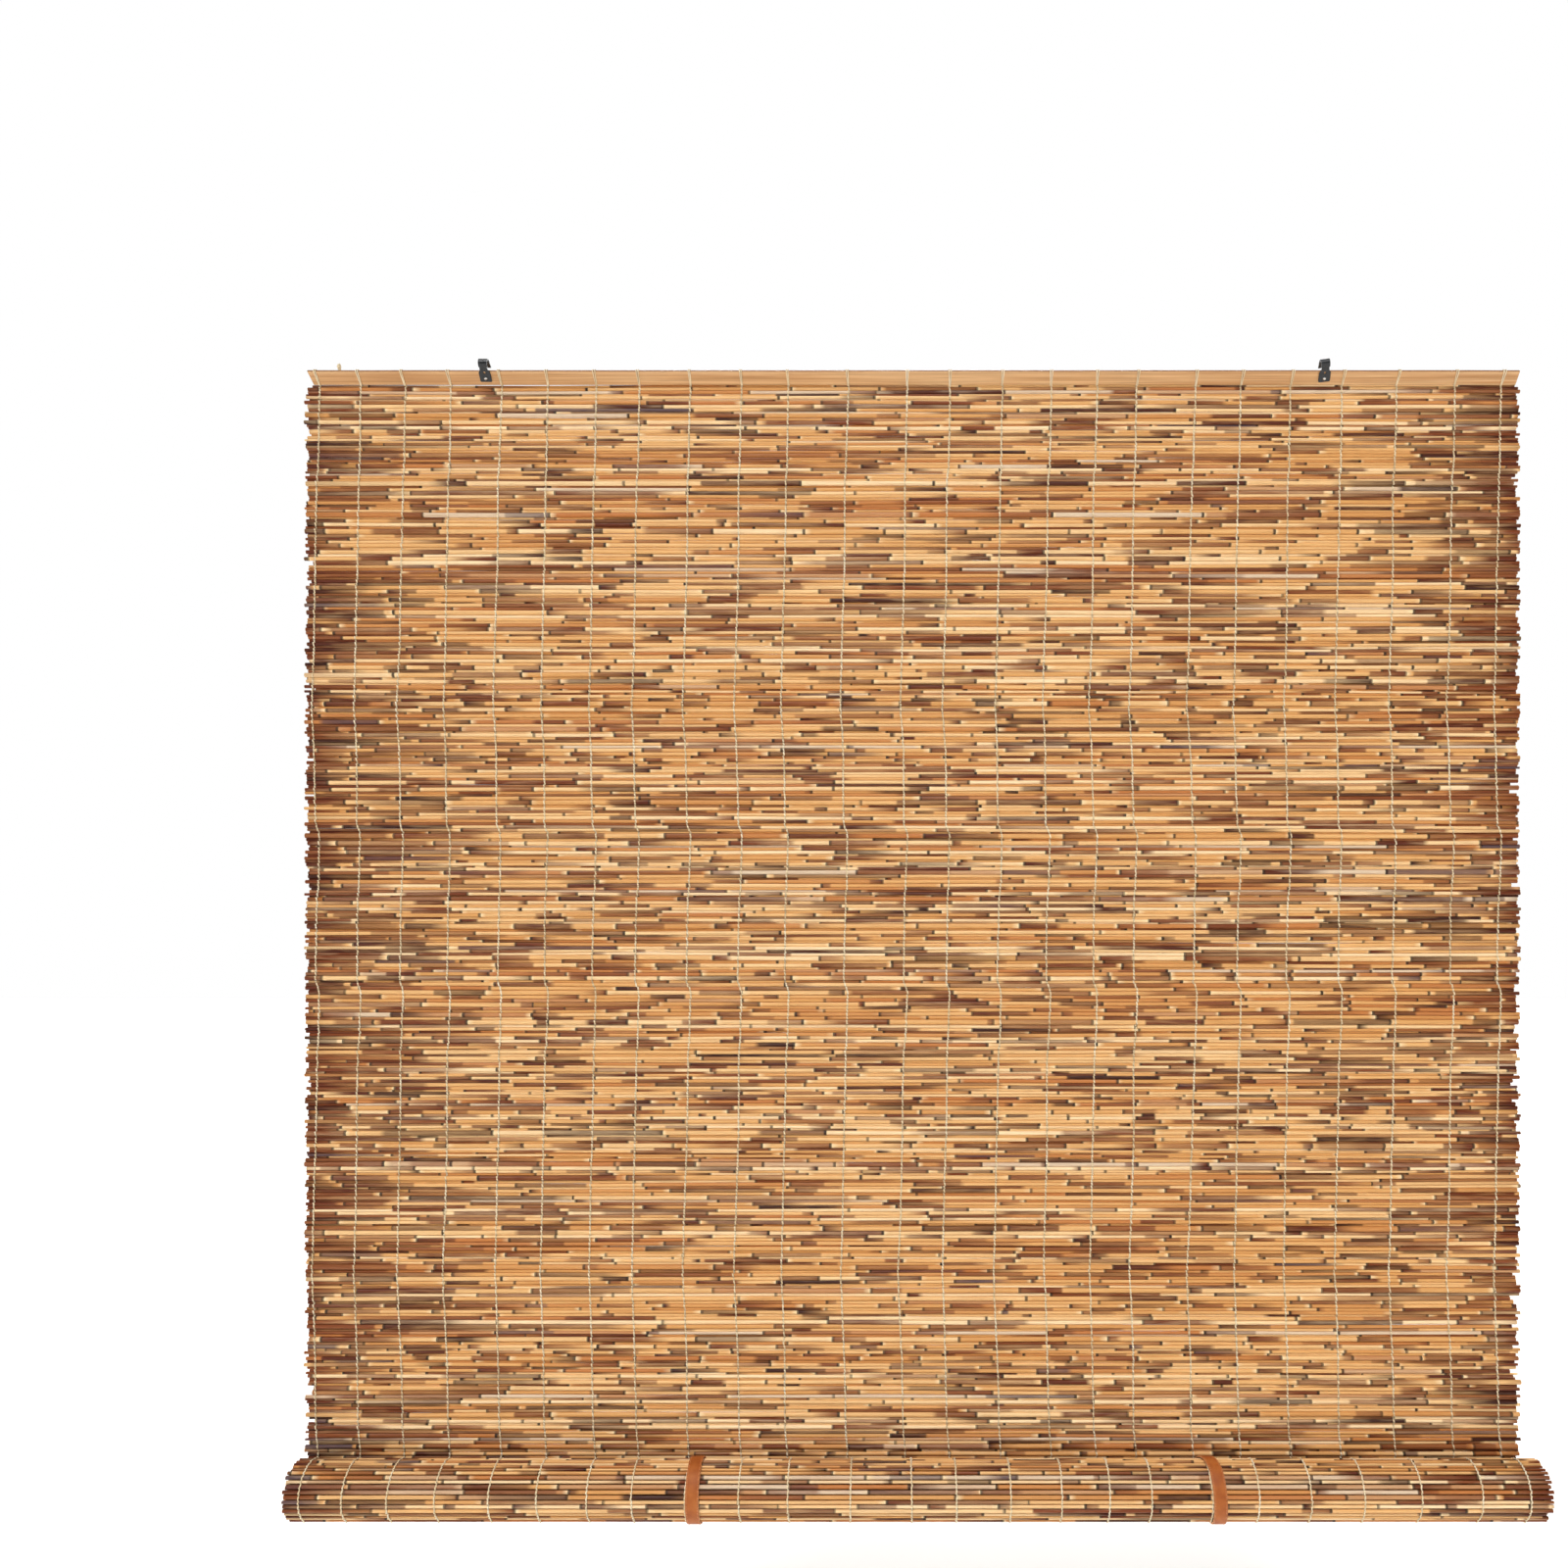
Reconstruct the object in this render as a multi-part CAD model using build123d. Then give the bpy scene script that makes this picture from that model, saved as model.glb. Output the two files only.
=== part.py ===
"""Reed roll up blind: a mat of thin reeds bound by strings, hung from a bamboo slat.

Units are millimetres, +Z up, -Y towards the room, +X to the room's right.
The origin lies on the line that both hooks hang from, at the middle of the slat.
The lower third of the mat is wound into a roll in front of the hanging stretch,
and two leather straps, each passed through the mat between two reeds, hold it.
"""
import math
import os
import random

from build123d import *

os.makedirs("parts", exist_ok=True)

# --- header slat ---------------------------------------------------------------
SLAT_LENGTH = 1600.0
SLAT_WIDTH = 18.4
SLAT_THICKNESS = 3.6
SLAT_TILT = 46.0  # degrees that the slat's top edge leans forward as it hangs
SLAT_EDGE_RADIUS = 0.9

# --- hangers, bent from strip ----------------------------------------------------
HANGER_INSET_LEFT = 236.5  # slat end to hanger centre
HANGER_INSET_RIGHT = 256.0
HANGER_THICKNESS = 1.5
HANGER_GAP = 0.2  # between the plate's back and the slat's face
PLATE_WIDTH = 15.0
PLATE_BOTTOM = 5.0  # above the slat's lower edge
PLATE_CORNER = 1.4
SHOULDER_DROP = 1.6  # straight sides end this far under the slat's top edge
NECK_WIDTH_LOW = 10.8
NECK_WIDTH_TOP = 9.2
NECK_LENGTH = 6.5  # above the slat's top edge
HOOK_WIDTH = 11.6
HOOK_RADIUS = 6.0  # middle of the strip
HOOK_SWEEP = 165.0
HOOK_TAIL = 9.0
HOOK_OVERLAP = 1.0  # of the hook's strip down the neck
EYE_RADIUS = 1.5  # punched hole at the root of the neck
EYE_DROP = 1.6  # below the slat's top edge
RIVET_HEIGHT = 9.3  # above the slat's lower edge
RIGHT_HANGER_TURN = 7.0  # degrees, as it was left

# --- rivets ----------------------------------------------------------------------
RIVET_RADIUS = 1.5
RIVET_CLEARANCE = 0.05
RIVET_HEAD_RADIUS = 2.35
RIVET_HEAD_HEIGHT = 1.5
RIVET_HEAD_GAP = 0.1
BURR_RADIUS = 3.0
BURR_THICKNESS = 0.8

# --- reeds -------------------------------------------------------------------------
REED_OVERHANG = 7.0  # longest reeds past each end of the slat
REED_DIAMETER = 5.0
REED_GAP = 0.5
END_RAGGED = 7.0  # most that a reed is short of the mat's edge
END_SHORT = 16.0  # the few that were broken shorter
SHORT_SHARE = 0.06
REED_SEED = 11
FIRST_REED_GAP = 0.3  # between the lashing under the slat and the first reed
MAT_DROP = 1451.7  # slat's lower edge to the roll's axis

# --- roll ----------------------------------------------------------------------------
ROLL_LAYERS = 5
LAYER_GAP = 0.8
FOOT_CLEARANCE = 0.13  # between the foot slat's corners and the innermost layer
STEP_START = 0.83  # share of a turn after which a layer steps inward
ROLL_SHIFT = 7.0  # the roll wandered this far to the right
WANDER = 2.5  # further sideways play of the inner layers
LIFT_TURNS = 6

# --- binding strings ---------------------------------------------------------------
STRING_GAPS = (
    55, 58, 61, 65, 64, 64, 57, 68, 68, 62, 79, 78,
    57, 69, 65, 61, 53, 78, 60, 66, 68, 72, 77, 62,
)  # the loom's uneven spacing from left to right, scaled to the span
STRING_INSET_LEFT = 12.5  # slat end to the outer string
STRING_INSET_RIGHT = 20.5
STRING_WIDTH = 1.4
STRING_THICKNESS = 1.0
STRING_GAP = 0.3
ROLL_STRING_SWEEP = (2.0, 300.0)  # degrees round the roll, from the back, going down

# --- straps ---------------------------------------------------------------------------
STRAP_INSET_LEFT = 529.0  # mat edge to strap centre
STRAP_INSET_RIGHT = 419.0
STRAP_WIDTH = 17.4
STRAP_THICKNESS = 1.6
STRAP_GAP = 0.3
STRAP_REED_GAP = 0.7  # from the strap on the roll to the hanging reed above it
FRONT_STRAND_GAP = 3.2  # from the strap up to the end of the strings' front strands
STRAP_LEAVES = 55.0  # degrees below the axis, where the outer end leaves the roll
INNER_END = 10.0  # below the axis
OUTER_END = 14.0  # above the axis
BACK_BEND = 2.0
WEDGE_BEND = 4.0
LAP_BEND = 15.0

# --- press studs ------------------------------------------------------------------------
STUD_HEIGHT = 2.0  # above the roll's axis
STUD_RADIUS = 1.6
STUD_CLEARANCE = 0.1
STUD_FLANGE_RADIUS = 3.5
STUD_FLANGE = 0.6
CAP_RADIUS = 5.5
CAP_HEIGHT = 2.2
CAP_WALL = 0.6

CLEAR_OF_HANGER = 17.5  # least distance from a string to a hanger's middle
CLEAR_OF_STRAP = 10.5  # least distance from a string to a strap's middle

# --- worked-out places ----------------------------------------------------------------
TILT_SIN = math.sin(math.radians(SLAT_TILT))
TILT_COS = math.cos(math.radians(SLAT_TILT))
PLATE_MIDDLE = SLAT_THICKNESS / 2 + HANGER_GAP + HANGER_THICKNESS / 2
HOOK_UP = SLAT_WIDTH + NECK_LENGTH
HOOK_OUT = PLATE_MIDDLE - HOOK_RADIUS
SLAT_Y = TILT_SIN * HOOK_UP + TILT_COS * HOOK_OUT
SLAT_Z = -TILT_COS * HOOK_UP + TILT_SIN * HOOK_OUT
FACE_OUT = (0, -TILT_COS, -TILT_SIN)  # the slat's front face looks forward and down
SLAT_PLACE = Plane(origin=(0, SLAT_Y, SLAT_Z), x_dir=(1, 0, 0), z_dir=FACE_OUT).location

REED_LENGTH = SLAT_LENGTH + 2 * REED_OVERHANG
REED_RADIUS = REED_DIAMETER / 2
REED_PITCH = REED_DIAMETER + REED_GAP
LAYER_PITCH = REED_DIAMETER + LAYER_GAP
CORE_RADIUS = math.hypot(SLAT_WIDTH, SLAT_THICKNESS) / 2 + FOOT_CLEARANCE + REED_RADIUS
ROLL_RADIUS = CORE_RADIUS + (ROLL_LAYERS - 1) * LAYER_PITCH  # middle of the outer layer
LASHING = STRING_GAP + STRING_THICKNESS  # how far a lashing stands off what it goes round
MAT_Y = SLAT_Y
AXIS_Y = MAT_Y - ROLL_RADIUS
AXIS_Z = SLAT_Z - MAT_DROP
FIRST_REED_Z = SLAT_Z - (LASHING + FIRST_REED_GAP + REED_RADIUS) / TILT_COS
STRAP_INNER = ROLL_RADIUS + REED_RADIUS + LASHING + STRAP_GAP
STRAP_MIDDLE = STRAP_INNER + STRAP_THICKNESS / 2
LAP_MIDDLE = STRAP_MIDDLE + STRAP_THICKNESS + STRAP_GAP
STRAP_TO_REED = STRAP_THICKNESS / 2 + STRAP_GAP + REED_RADIUS  # where it passes through the mat
REED_ABOVE = STRAP_INNER + STRAP_THICKNESS + STRAP_REED_GAP + REED_RADIUS  # from the roll's axis
STRAP_RISE = math.sqrt(REED_ABOVE**2 - ROLL_RADIUS**2) - STRAP_TO_REED  # above the roll's axis
LIFT_TRAVEL = LIFT_TURNS * 2 * math.pi * ROLL_RADIUS

HANGER_X = {
    "left": -SLAT_LENGTH / 2 + HANGER_INSET_LEFT,
    "right": SLAT_LENGTH / 2 - HANGER_INSET_RIGHT,
}
HANGER_TURN = {"left": 0.0, "right": RIGHT_HANGER_TURN}
STRAP_X = {
    "left": -REED_LENGTH / 2 + STRAP_INSET_LEFT,
    "right": REED_LENGTH / 2 - STRAP_INSET_RIGHT,
}


def save(shape, node):
    """Write one node and say how many solids it holds."""
    solids = shape.solids()
    export_step(Compound(children=list(solids)) if len(solids) > 1 else solids[0], f"parts/{node}.step")
    print(f"{node}: {len(solids)} solid(s)")


def on_slat(shape, x=0.0, up=0.0, out=0.0):
    """Place a shape given in the slat's own frame: along, up its face, out of its face."""
    return SLAT_PLACE * Pos(x, up, out) * shape


def slat_point(up, out):
    """The (Y, Z) of a point on the slat's section."""
    return (SLAT_Y - TILT_SIN * up - TILT_COS * out, SLAT_Z + TILT_COS * up - TILT_SIN * out)


def axis_point(radius, degrees):
    """The (Y, Z) of a point round the roll's axis, from the back, turning upwards."""
    turn = math.radians(degrees)
    return (AXIS_Y + radius * math.cos(turn), AXIS_Z + radius * math.sin(turn))


def across(profile, width, x=0.0):
    """Extrude a (Y, Z) profile to both sides of x."""
    return extrude(Plane.YZ.offset(x) * profile, amount=width / 2, both=True)


def arc_band(inner, outer, start, sweep):
    """A face between two radii round the roll's axis."""
    half = start + sweep / 2
    end = start + sweep
    return make_face(
        [
            ThreePointArc(axis_point(outer, start), axis_point(outer, half), axis_point(outer, end)),
            Line(axis_point(outer, end), axis_point(inner, end)),
            ThreePointArc(axis_point(inner, end), axis_point(inner, half), axis_point(inner, start)),
            Line(axis_point(inner, start), axis_point(outer, start)),
        ]
    )


# --- slats -------------------------------------------------------------------------
def slat_bar():
    """A length of the split bamboo that both slats are cut from."""
    bar = Box(SLAT_LENGTH, SLAT_WIDTH, SLAT_THICKNESS)
    return fillet(bar.edges().filter_by(Axis.X), SLAT_EDGE_RADIUS)


def make_header_slat():
    """The slat at the top, with a hole for each rivet."""
    bar = slat_bar()
    hole = Cylinder(RIVET_RADIUS + RIVET_CLEARANCE, SLAT_THICKNESS * 2)
    for x in HANGER_X.values():
        bar -= Pos(x, RIVET_HEIGHT - SLAT_WIDTH / 2, 0) * hole
    return on_slat(bar, up=SLAT_WIDTH / 2)


def make_foot_slat():
    """The slat at the foot of the mat, which the roll is wound on."""
    return Pos(ROLL_SHIFT, AXIS_Y, AXIS_Z) * Rot(90, 0, 0) * slat_bar()


# --- hangers -------------------------------------------------------------------------
def hook_point(radius, degrees, tail=0.0):
    """The (Y, Z) of a point on the hook: round its middle from the neck, then along the tail."""
    turn = math.radians(degrees)
    up = HOOK_UP + radius * math.sin(turn) + tail * math.cos(turn)
    out = HOOK_OUT + radius * math.cos(turn) - tail * math.sin(turn)
    return slat_point(up, out)


def make_hanger(x):
    """A plate on the slat's face, a neck above it and a hook bent back over the rail."""
    shoulder = SLAT_WIDTH - SHOULDER_DROP
    half = PLATE_WIDTH / 2
    outline = Polyline(
        (-half, PLATE_BOTTOM),
        (half, PLATE_BOTTOM),
        (half, shoulder),
        (NECK_WIDTH_LOW / 2, SLAT_WIDTH + SHOULDER_DROP),
        (NECK_WIDTH_TOP / 2, HOOK_UP),
        (-NECK_WIDTH_TOP / 2, HOOK_UP),
        (-NECK_WIDTH_LOW / 2, SLAT_WIDTH + SHOULDER_DROP),
        (-half, shoulder),
        close=True,
    )
    sheet = make_face(outline)
    lower = sheet.vertices().filter_by_position(Axis.Y, PLATE_BOTTOM - 0.1, PLATE_BOTTOM + 0.1)
    sheet = fillet(lower, PLATE_CORNER)
    sheet -= Pos(0, RIVET_HEIGHT) * Circle(RIVET_RADIUS + RIVET_CLEARANCE)
    sheet -= Pos(0, SLAT_WIDTH - EYE_DROP) * Circle(EYE_RADIUS)
    plate = extrude(sheet, amount=HANGER_THICKNESS / 2, both=True)
    plate = on_slat(plate, x=x, out=PLATE_MIDDLE)

    inner = HOOK_RADIUS - HANGER_THICKNESS / 2
    outer = HOOK_RADIUS + HANGER_THICKNESS / 2
    half_sweep = HOOK_SWEEP / 2
    profile = make_face(
        [
            Line(hook_point(inner, 0, -HOOK_OVERLAP), hook_point(outer, 0, -HOOK_OVERLAP)),
            Line(hook_point(outer, 0, -HOOK_OVERLAP), hook_point(outer, 0)),
            ThreePointArc(
                hook_point(outer, 0), hook_point(outer, half_sweep), hook_point(outer, HOOK_SWEEP)
            ),
            Line(hook_point(outer, HOOK_SWEEP), hook_point(outer, HOOK_SWEEP, HOOK_TAIL)),
            Line(
                hook_point(outer, HOOK_SWEEP, HOOK_TAIL), hook_point(inner, HOOK_SWEEP, HOOK_TAIL)
            ),
            Line(hook_point(inner, HOOK_SWEEP, HOOK_TAIL), hook_point(inner, HOOK_SWEEP)),
            ThreePointArc(
                hook_point(inner, HOOK_SWEEP), hook_point(inner, half_sweep), hook_point(inner, 0)
            ),
            Line(hook_point(inner, 0), hook_point(inner, 0, -HOOK_OVERLAP)),
        ]
    )
    return plate + across(profile, HOOK_WIDTH, x)


def turned(shape, side):
    """Swivel a hanger about its rivet to where it was left."""
    y, z = slat_point(RIVET_HEIGHT, 0)
    pivot = Axis((HANGER_X[side], y, z), FACE_OUT)
    return shape.rotate(pivot, HANGER_TURN[side])


def make_rivet(x):
    """Domed head, shank through plate and slat, and a burr clenched at the back."""
    head_seat = PLATE_MIDDLE + HANGER_THICKNESS / 2 + RIVET_HEAD_GAP
    burr_seat = -SLAT_THICKNESS / 2 - RIVET_CLEARANCE
    shank_length = head_seat - burr_seat + BURR_THICKNESS
    shank = Pos(0, 0, burr_seat - BURR_THICKNESS + shank_length / 2) * Cylinder(RIVET_RADIUS, shank_length)
    burr = Pos(0, 0, burr_seat - BURR_THICKNESS / 2) * Cylinder(BURR_RADIUS, BURR_THICKNESS)
    ball_radius = (RIVET_HEAD_RADIUS**2 + RIVET_HEAD_HEIGHT**2) / (2 * RIVET_HEAD_HEIGHT)
    ball = Pos(0, 0, head_seat + RIVET_HEAD_HEIGHT - ball_radius) * Sphere(ball_radius)
    above = Pos(0, 0, head_seat + ball_radius) * Box(4 * ball_radius, 4 * ball_radius, 2 * ball_radius)
    rivet = shank + burr + (ball & above)
    return on_slat(rivet, x=x, up=RIVET_HEIGHT)


# --- reeds ---------------------------------------------------------------------------
draw = random.Random(REED_SEED)


def short_of_edge():
    """How far one end of a reed stops short of the mat's edge."""
    if draw.random() < SHORT_SHARE:
        return draw.uniform(END_RAGGED, END_SHORT)
    return END_RAGGED * draw.random()


def reed(y, z, shift=0.0):
    """One reed across the mat, its ends cut unevenly."""
    left = -REED_LENGTH / 2 + short_of_edge() + shift
    right = REED_LENGTH / 2 - short_of_edge() + shift
    middle = (left + right) / 2
    return Pos(middle, y, z) * Rot(0, 90, 0) * Cylinder(REED_RADIUS, right - left)


def hanging_rows():
    """Heights of the hanging reeds: an even run down to the straps, then on to the roll."""
    last_above = AXIS_Z + STRAP_RISE + STRAP_TO_REED
    count = round((FIRST_REED_Z - last_above) / REED_PITCH)
    pitch = (FIRST_REED_Z - last_above) / count
    rows = [FIRST_REED_Z - pitch * row for row in range(count + 1)]
    height = AXIS_Z + STRAP_RISE - STRAP_TO_REED
    while height > AXIS_Z:
        rows.append(height)
        height -= REED_PITCH
    return rows


def wound_radius(turn):
    """Distance from the axis after so many turns: circles, each with a step inward."""
    whole = math.floor(turn)
    part = max(0.0, (turn - whole - STEP_START) / (1 - STEP_START))
    return ROLL_RADIUS - LAYER_PITCH * (whole + part * part * (3 - 2 * part))


def wound_rows(below):
    """(turn, Y, Z) of each wound reed; the first lies this far along the mat past the axis."""
    rows = []
    turn = below / (2 * math.pi * ROLL_RADIUS)
    while turn < ROLL_LAYERS - 1 + STEP_START:
        radius = wound_radius(turn)
        rows.append((turn, *axis_point(radius, -360 * turn)))
        turn += REED_PITCH / (2 * math.pi * radius)
    return rows


def sideways(turn):
    """How far the mat has wandered to the right after so many turns."""
    return ROLL_SHIFT + WANDER * math.sin(2.1 * turn)


# --- strings ---------------------------------------------------------------------------
def clear_of(x, centres, distance):
    """Move a string that would foul a hanger or a strap just clear of it."""
    for centre in centres:
        if abs(x - centre) < distance:
            x = centre + math.copysign(distance, x - centre)
    return x


def string_places():
    """X of each string from left to right."""
    scale = (SLAT_LENGTH - STRING_INSET_LEFT - STRING_INSET_RIGHT) / sum(STRING_GAPS)
    places = [STRING_INSET_LEFT - SLAT_LENGTH / 2]
    for gap in STRING_GAPS:
        places.append(places[-1] + gap * scale)
    places = [clear_of(x, HANGER_X.values(), CLEAR_OF_HANGER) for x in places]
    return [clear_of(x, STRAP_X.values(), CLEAR_OF_STRAP) for x in places]


def make_hanging_string():
    """A strand down each face of the mat, lashed round the slat at the top."""
    ring = Box(STRING_WIDTH, SLAT_WIDTH + 2 * LASHING, SLAT_THICKNESS + 2 * LASHING)
    ring -= Box(STRING_WIDTH * 2, SLAT_WIDTH + 2 * STRING_GAP, SLAT_THICKNESS + 2 * STRING_GAP)
    string = on_slat(ring, up=SLAT_WIDTH / 2)
    stand_off = REED_RADIUS + STRING_GAP + STRING_THICKNESS / 2
    corner = SLAT_THICKNESS / 2 + LASHING - STRING_THICKNESS / 2
    front_end = AXIS_Z + STRAP_RISE + STRAP_THICKNESS / 2 + FRONT_STRAND_GAP
    strands = (
        (-1, slat_point(STRING_THICKNESS / 2 - LASHING, corner), front_end),
        (1, slat_point(STRING_THICKNESS / 2 - LASHING, -corner), AXIS_Z + STRING_GAP),
    )
    for side, (lashed_y, top), bottom in strands:
        strand_y = MAT_Y + side * stand_off
        strand = Box(STRING_WIDTH, STRING_THICKNESS, top - bottom)
        string += Pos(0, strand_y, (top + bottom) / 2) * strand
        reach = abs(strand_y - lashed_y) + STRING_THICKNESS
        string += Pos(0, (strand_y + lashed_y) / 2, top) * Box(STRING_WIDTH, reach, STRING_THICKNESS)
    return string


def make_wound_string():
    """The stretch of a string that shows round the outside of the roll."""
    start, end = ROLL_STRING_SWEEP
    inner = ROLL_RADIUS + REED_RADIUS + STRING_GAP
    return across(arc_band(inner, inner + STRING_THICKNESS, -end, end - start), STRING_WIDTH)


# --- straps ---------------------------------------------------------------------------
def strap_profile():
    """The strap's closed way round the roll, as a band of even thickness."""
    wedge = math.degrees(math.asin(STRAP_RISE / STRAP_MIDDLE))
    leave = axis_point(STRAP_MIDDLE, -STRAP_LEAVES)
    turn = math.radians(STRAP_LEAVES)
    run = (LAP_MIDDLE - STRAP_MIDDLE * math.cos(turn)) / math.sin(turn)
    lap_corner = (AXIS_Y + LAP_MIDDLE, leave[1] + run * math.cos(turn))
    back_y = AXIS_Y + STRAP_MIDDLE
    rise_z = AXIS_Z + STRAP_RISE
    inner_end = (back_y, AXIS_Z - INNER_END)
    half = STRAP_THICKNESS / 2

    wedge_run = WEDGE_BEND * math.tan(math.radians((90 - wedge) / 2))
    wedge_y = AXIS_Y + STRAP_MIDDLE * math.cos(math.radians(wedge))
    bands = [
        segment(inner_end, (back_y, rise_z - BACK_BEND), half),
        bend((back_y, rise_z), (0, 1), (-1, 0), BACK_BEND, half),
        segment((back_y - BACK_BEND, rise_z), (wedge_y + wedge_run, rise_z), half),
        wedge_bend(wedge, wedge_y, rise_z, half),
        arc_band(STRAP_INNER, STRAP_INNER + STRAP_THICKNESS, wedge, 360 - wedge - STRAP_LEAVES),
    ]
    lap_run = LAP_BEND * math.tan(turn / 2)
    heading = (math.sin(turn), math.cos(turn))
    lap_start = (lap_corner[0] - lap_run * heading[0], lap_corner[1] - lap_run * heading[1])
    bands.append(segment(leave, lap_start, half))
    bands.append(bend(lap_corner, heading, (0, 1), LAP_BEND, half))
    bands.append(
        segment((lap_corner[0], lap_corner[1] + lap_run), (lap_corner[0], AXIS_Z + OUTER_END), half)
    )
    return bands


def segment(start, end, half):
    """A straight stretch of strap between two points of its middle line."""
    length = math.dist(start, end)
    middle = ((start[0] + end[0]) / 2, (start[1] + end[1]) / 2)
    turn = math.degrees(math.atan2(end[1] - start[1], end[0] - start[0]))
    return Pos(*middle) * Rot(0, 0, turn) * Rectangle(length, 2 * half)


def bend(corner, heading_in, heading_out, radius, half):
    """A round bend of the middle line at a corner, between two headings."""
    cross = heading_in[0] * heading_out[1] - heading_in[1] * heading_out[0]
    dot = heading_in[0] * heading_out[0] + heading_in[1] * heading_out[1]
    turn = math.atan2(cross, dot)
    run = radius * math.tan(abs(turn) / 2)
    side = math.copysign(1.0, turn)
    start = (corner[0] - run * heading_in[0], corner[1] - run * heading_in[1])
    centre = (start[0] - side * radius * heading_in[1], start[1] + side * radius * heading_in[0])
    first = math.degrees(math.atan2(start[1] - centre[1], start[0] - centre[0]))
    ring = Pos(*centre) * (Circle(radius + half) - Circle(radius - half))
    sweep = math.degrees(turn)
    wedge_points = [centre]
    reach = 2 * (radius + half)
    for share in (0, 0.5, 1):
        angle = math.radians(first + sweep * share)
        wedge_points.append((centre[0] + reach * math.cos(angle), centre[1] + reach * math.sin(angle)))
    return ring & make_face(Polyline(*wedge_points, close=True))


def wedge_bend(wedge, wedge_y, rise_z, half):
    """The small bend where the strap comes forward through the mat and turns up onto the roll."""
    climb = math.radians(wedge)
    return bend((wedge_y, rise_z), (-1, 0), (-math.sin(climb), math.cos(climb)), WEDGE_BEND, half)


def make_strap(x):
    """One leather strap: both ends lap at the back, with a hole for the press stud."""
    strap = None
    for band in strap_profile():
        piece = across(band, STRAP_WIDTH, x)
        strap = piece if strap is None else strap + piece
    hole = Rot(90, 0, 0) * Cylinder(STUD_RADIUS + STUD_CLEARANCE, 8 * STRAP_THICKNESS)
    return strap - Pos(x, AXIS_Y + LAP_MIDDLE, AXIS_Z + STUD_HEIGHT) * hole


def make_press_stud(x):
    """Stud through the inner end, and a domed cap that snaps over it through the outer end."""
    inner_face = STRAP_MIDDLE - STRAP_THICKNESS / 2
    outer_face = LAP_MIDDLE + STRAP_THICKNESS / 2
    flange = Pos(0, 0, inner_face - STUD_CLEARANCE - STUD_FLANGE / 2) * Cylinder(
        STUD_FLANGE_RADIUS, STUD_FLANGE
    )
    post_start = inner_face - STUD_CLEARANCE - STUD_FLANGE
    post_length = outer_face + CAP_HEIGHT - CAP_WALL - STUD_CLEARANCE - post_start
    post = Pos(0, 0, post_start + post_length / 2) * Cylinder(STUD_RADIUS, post_length)
    cap_middle = outer_face + STUD_CLEARANCE + CAP_HEIGHT / 2
    cap = Pos(0, 0, cap_middle) * Cylinder(CAP_RADIUS, CAP_HEIGHT)
    cap = fillet(cap.edges().sort_by(Axis.Z)[-1], CAP_HEIGHT * 0.6)
    cap -= Pos(0, 0, cap_middle - CAP_WALL) * Cylinder(STUD_RADIUS + STUD_CLEARANCE, CAP_HEIGHT)
    place = Plane(origin=(x, AXIS_Y, AXIS_Z + STUD_HEIGHT), x_dir=(1, 0, 0), z_dir=(0, 1, 0)).location
    return Compound(children=[place * (flange + post), place * cap])


# --- build -----------------------------------------------------------------------------
save(make_header_slat(), "header_slat")
for side, x in HANGER_X.items():
    save(turned(make_hanger(x), side), f"hanger_{side}")
    save(make_rivet(x), f"rivet_{side}")

rows = hanging_rows()
save(Compound(children=[reed(MAT_Y, z) for z in rows]), "hanging_reeds")
outer_turn = []
inner_turns = []
for turn, y, z in wound_rows(REED_PITCH - (rows[-1] - AXIS_Z)):
    layer = outer_turn if turn < 1 else inner_turns
    layer.append(reed(y, z, sideways(turn)))
save(Compound(children=outer_turn), "rolled_reeds_outer")
save(Compound(children=inner_turns), "rolled_reeds_inner")
save(make_foot_slat(), "foot_slat")

places = string_places()
hanging_string = make_hanging_string()
for number, x in enumerate(places, start=1):
    save(Pos(x, 0, 0) * hanging_string, f"string_{number:02d}")
wound_string = make_wound_string()
save(
    Compound(children=[Pos(x + ROLL_SHIFT, 0, 0) * wound_string for x in places]),
    "rolled_strings",
)

for side, x in STRAP_X.items():
    save(make_strap(x), f"strap_{side}")
    save(make_press_stud(x), f"press_stud_{side}")

pivot_y, pivot_z = slat_point(RIVET_HEIGHT, 0)
print("slat lower edge", (SLAT_Y, SLAT_Z), "roll axis", (AXIS_Y, AXIS_Z))
print("rivet", (pivot_y, pivot_z), "facing", FACE_OUT)
print("first reed", FIRST_REED_Z, "rows", len(rows), len(outer_turn), len(inner_turns))
print("lift", LIFT_TRAVEL, "per metre", -1000 / ROLL_RADIUS)
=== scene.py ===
# %% [markdown]
# # A reed roll up blind
# The blind is a mat of thin river reeds, bound side by side with cotton strings
# and hung from a split bamboo slat on two black steel hangers. The lower third
# is wound into a roll, which two leather straps hold. This lesson dresses the
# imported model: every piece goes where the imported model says, in metres.

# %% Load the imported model
import math

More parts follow.
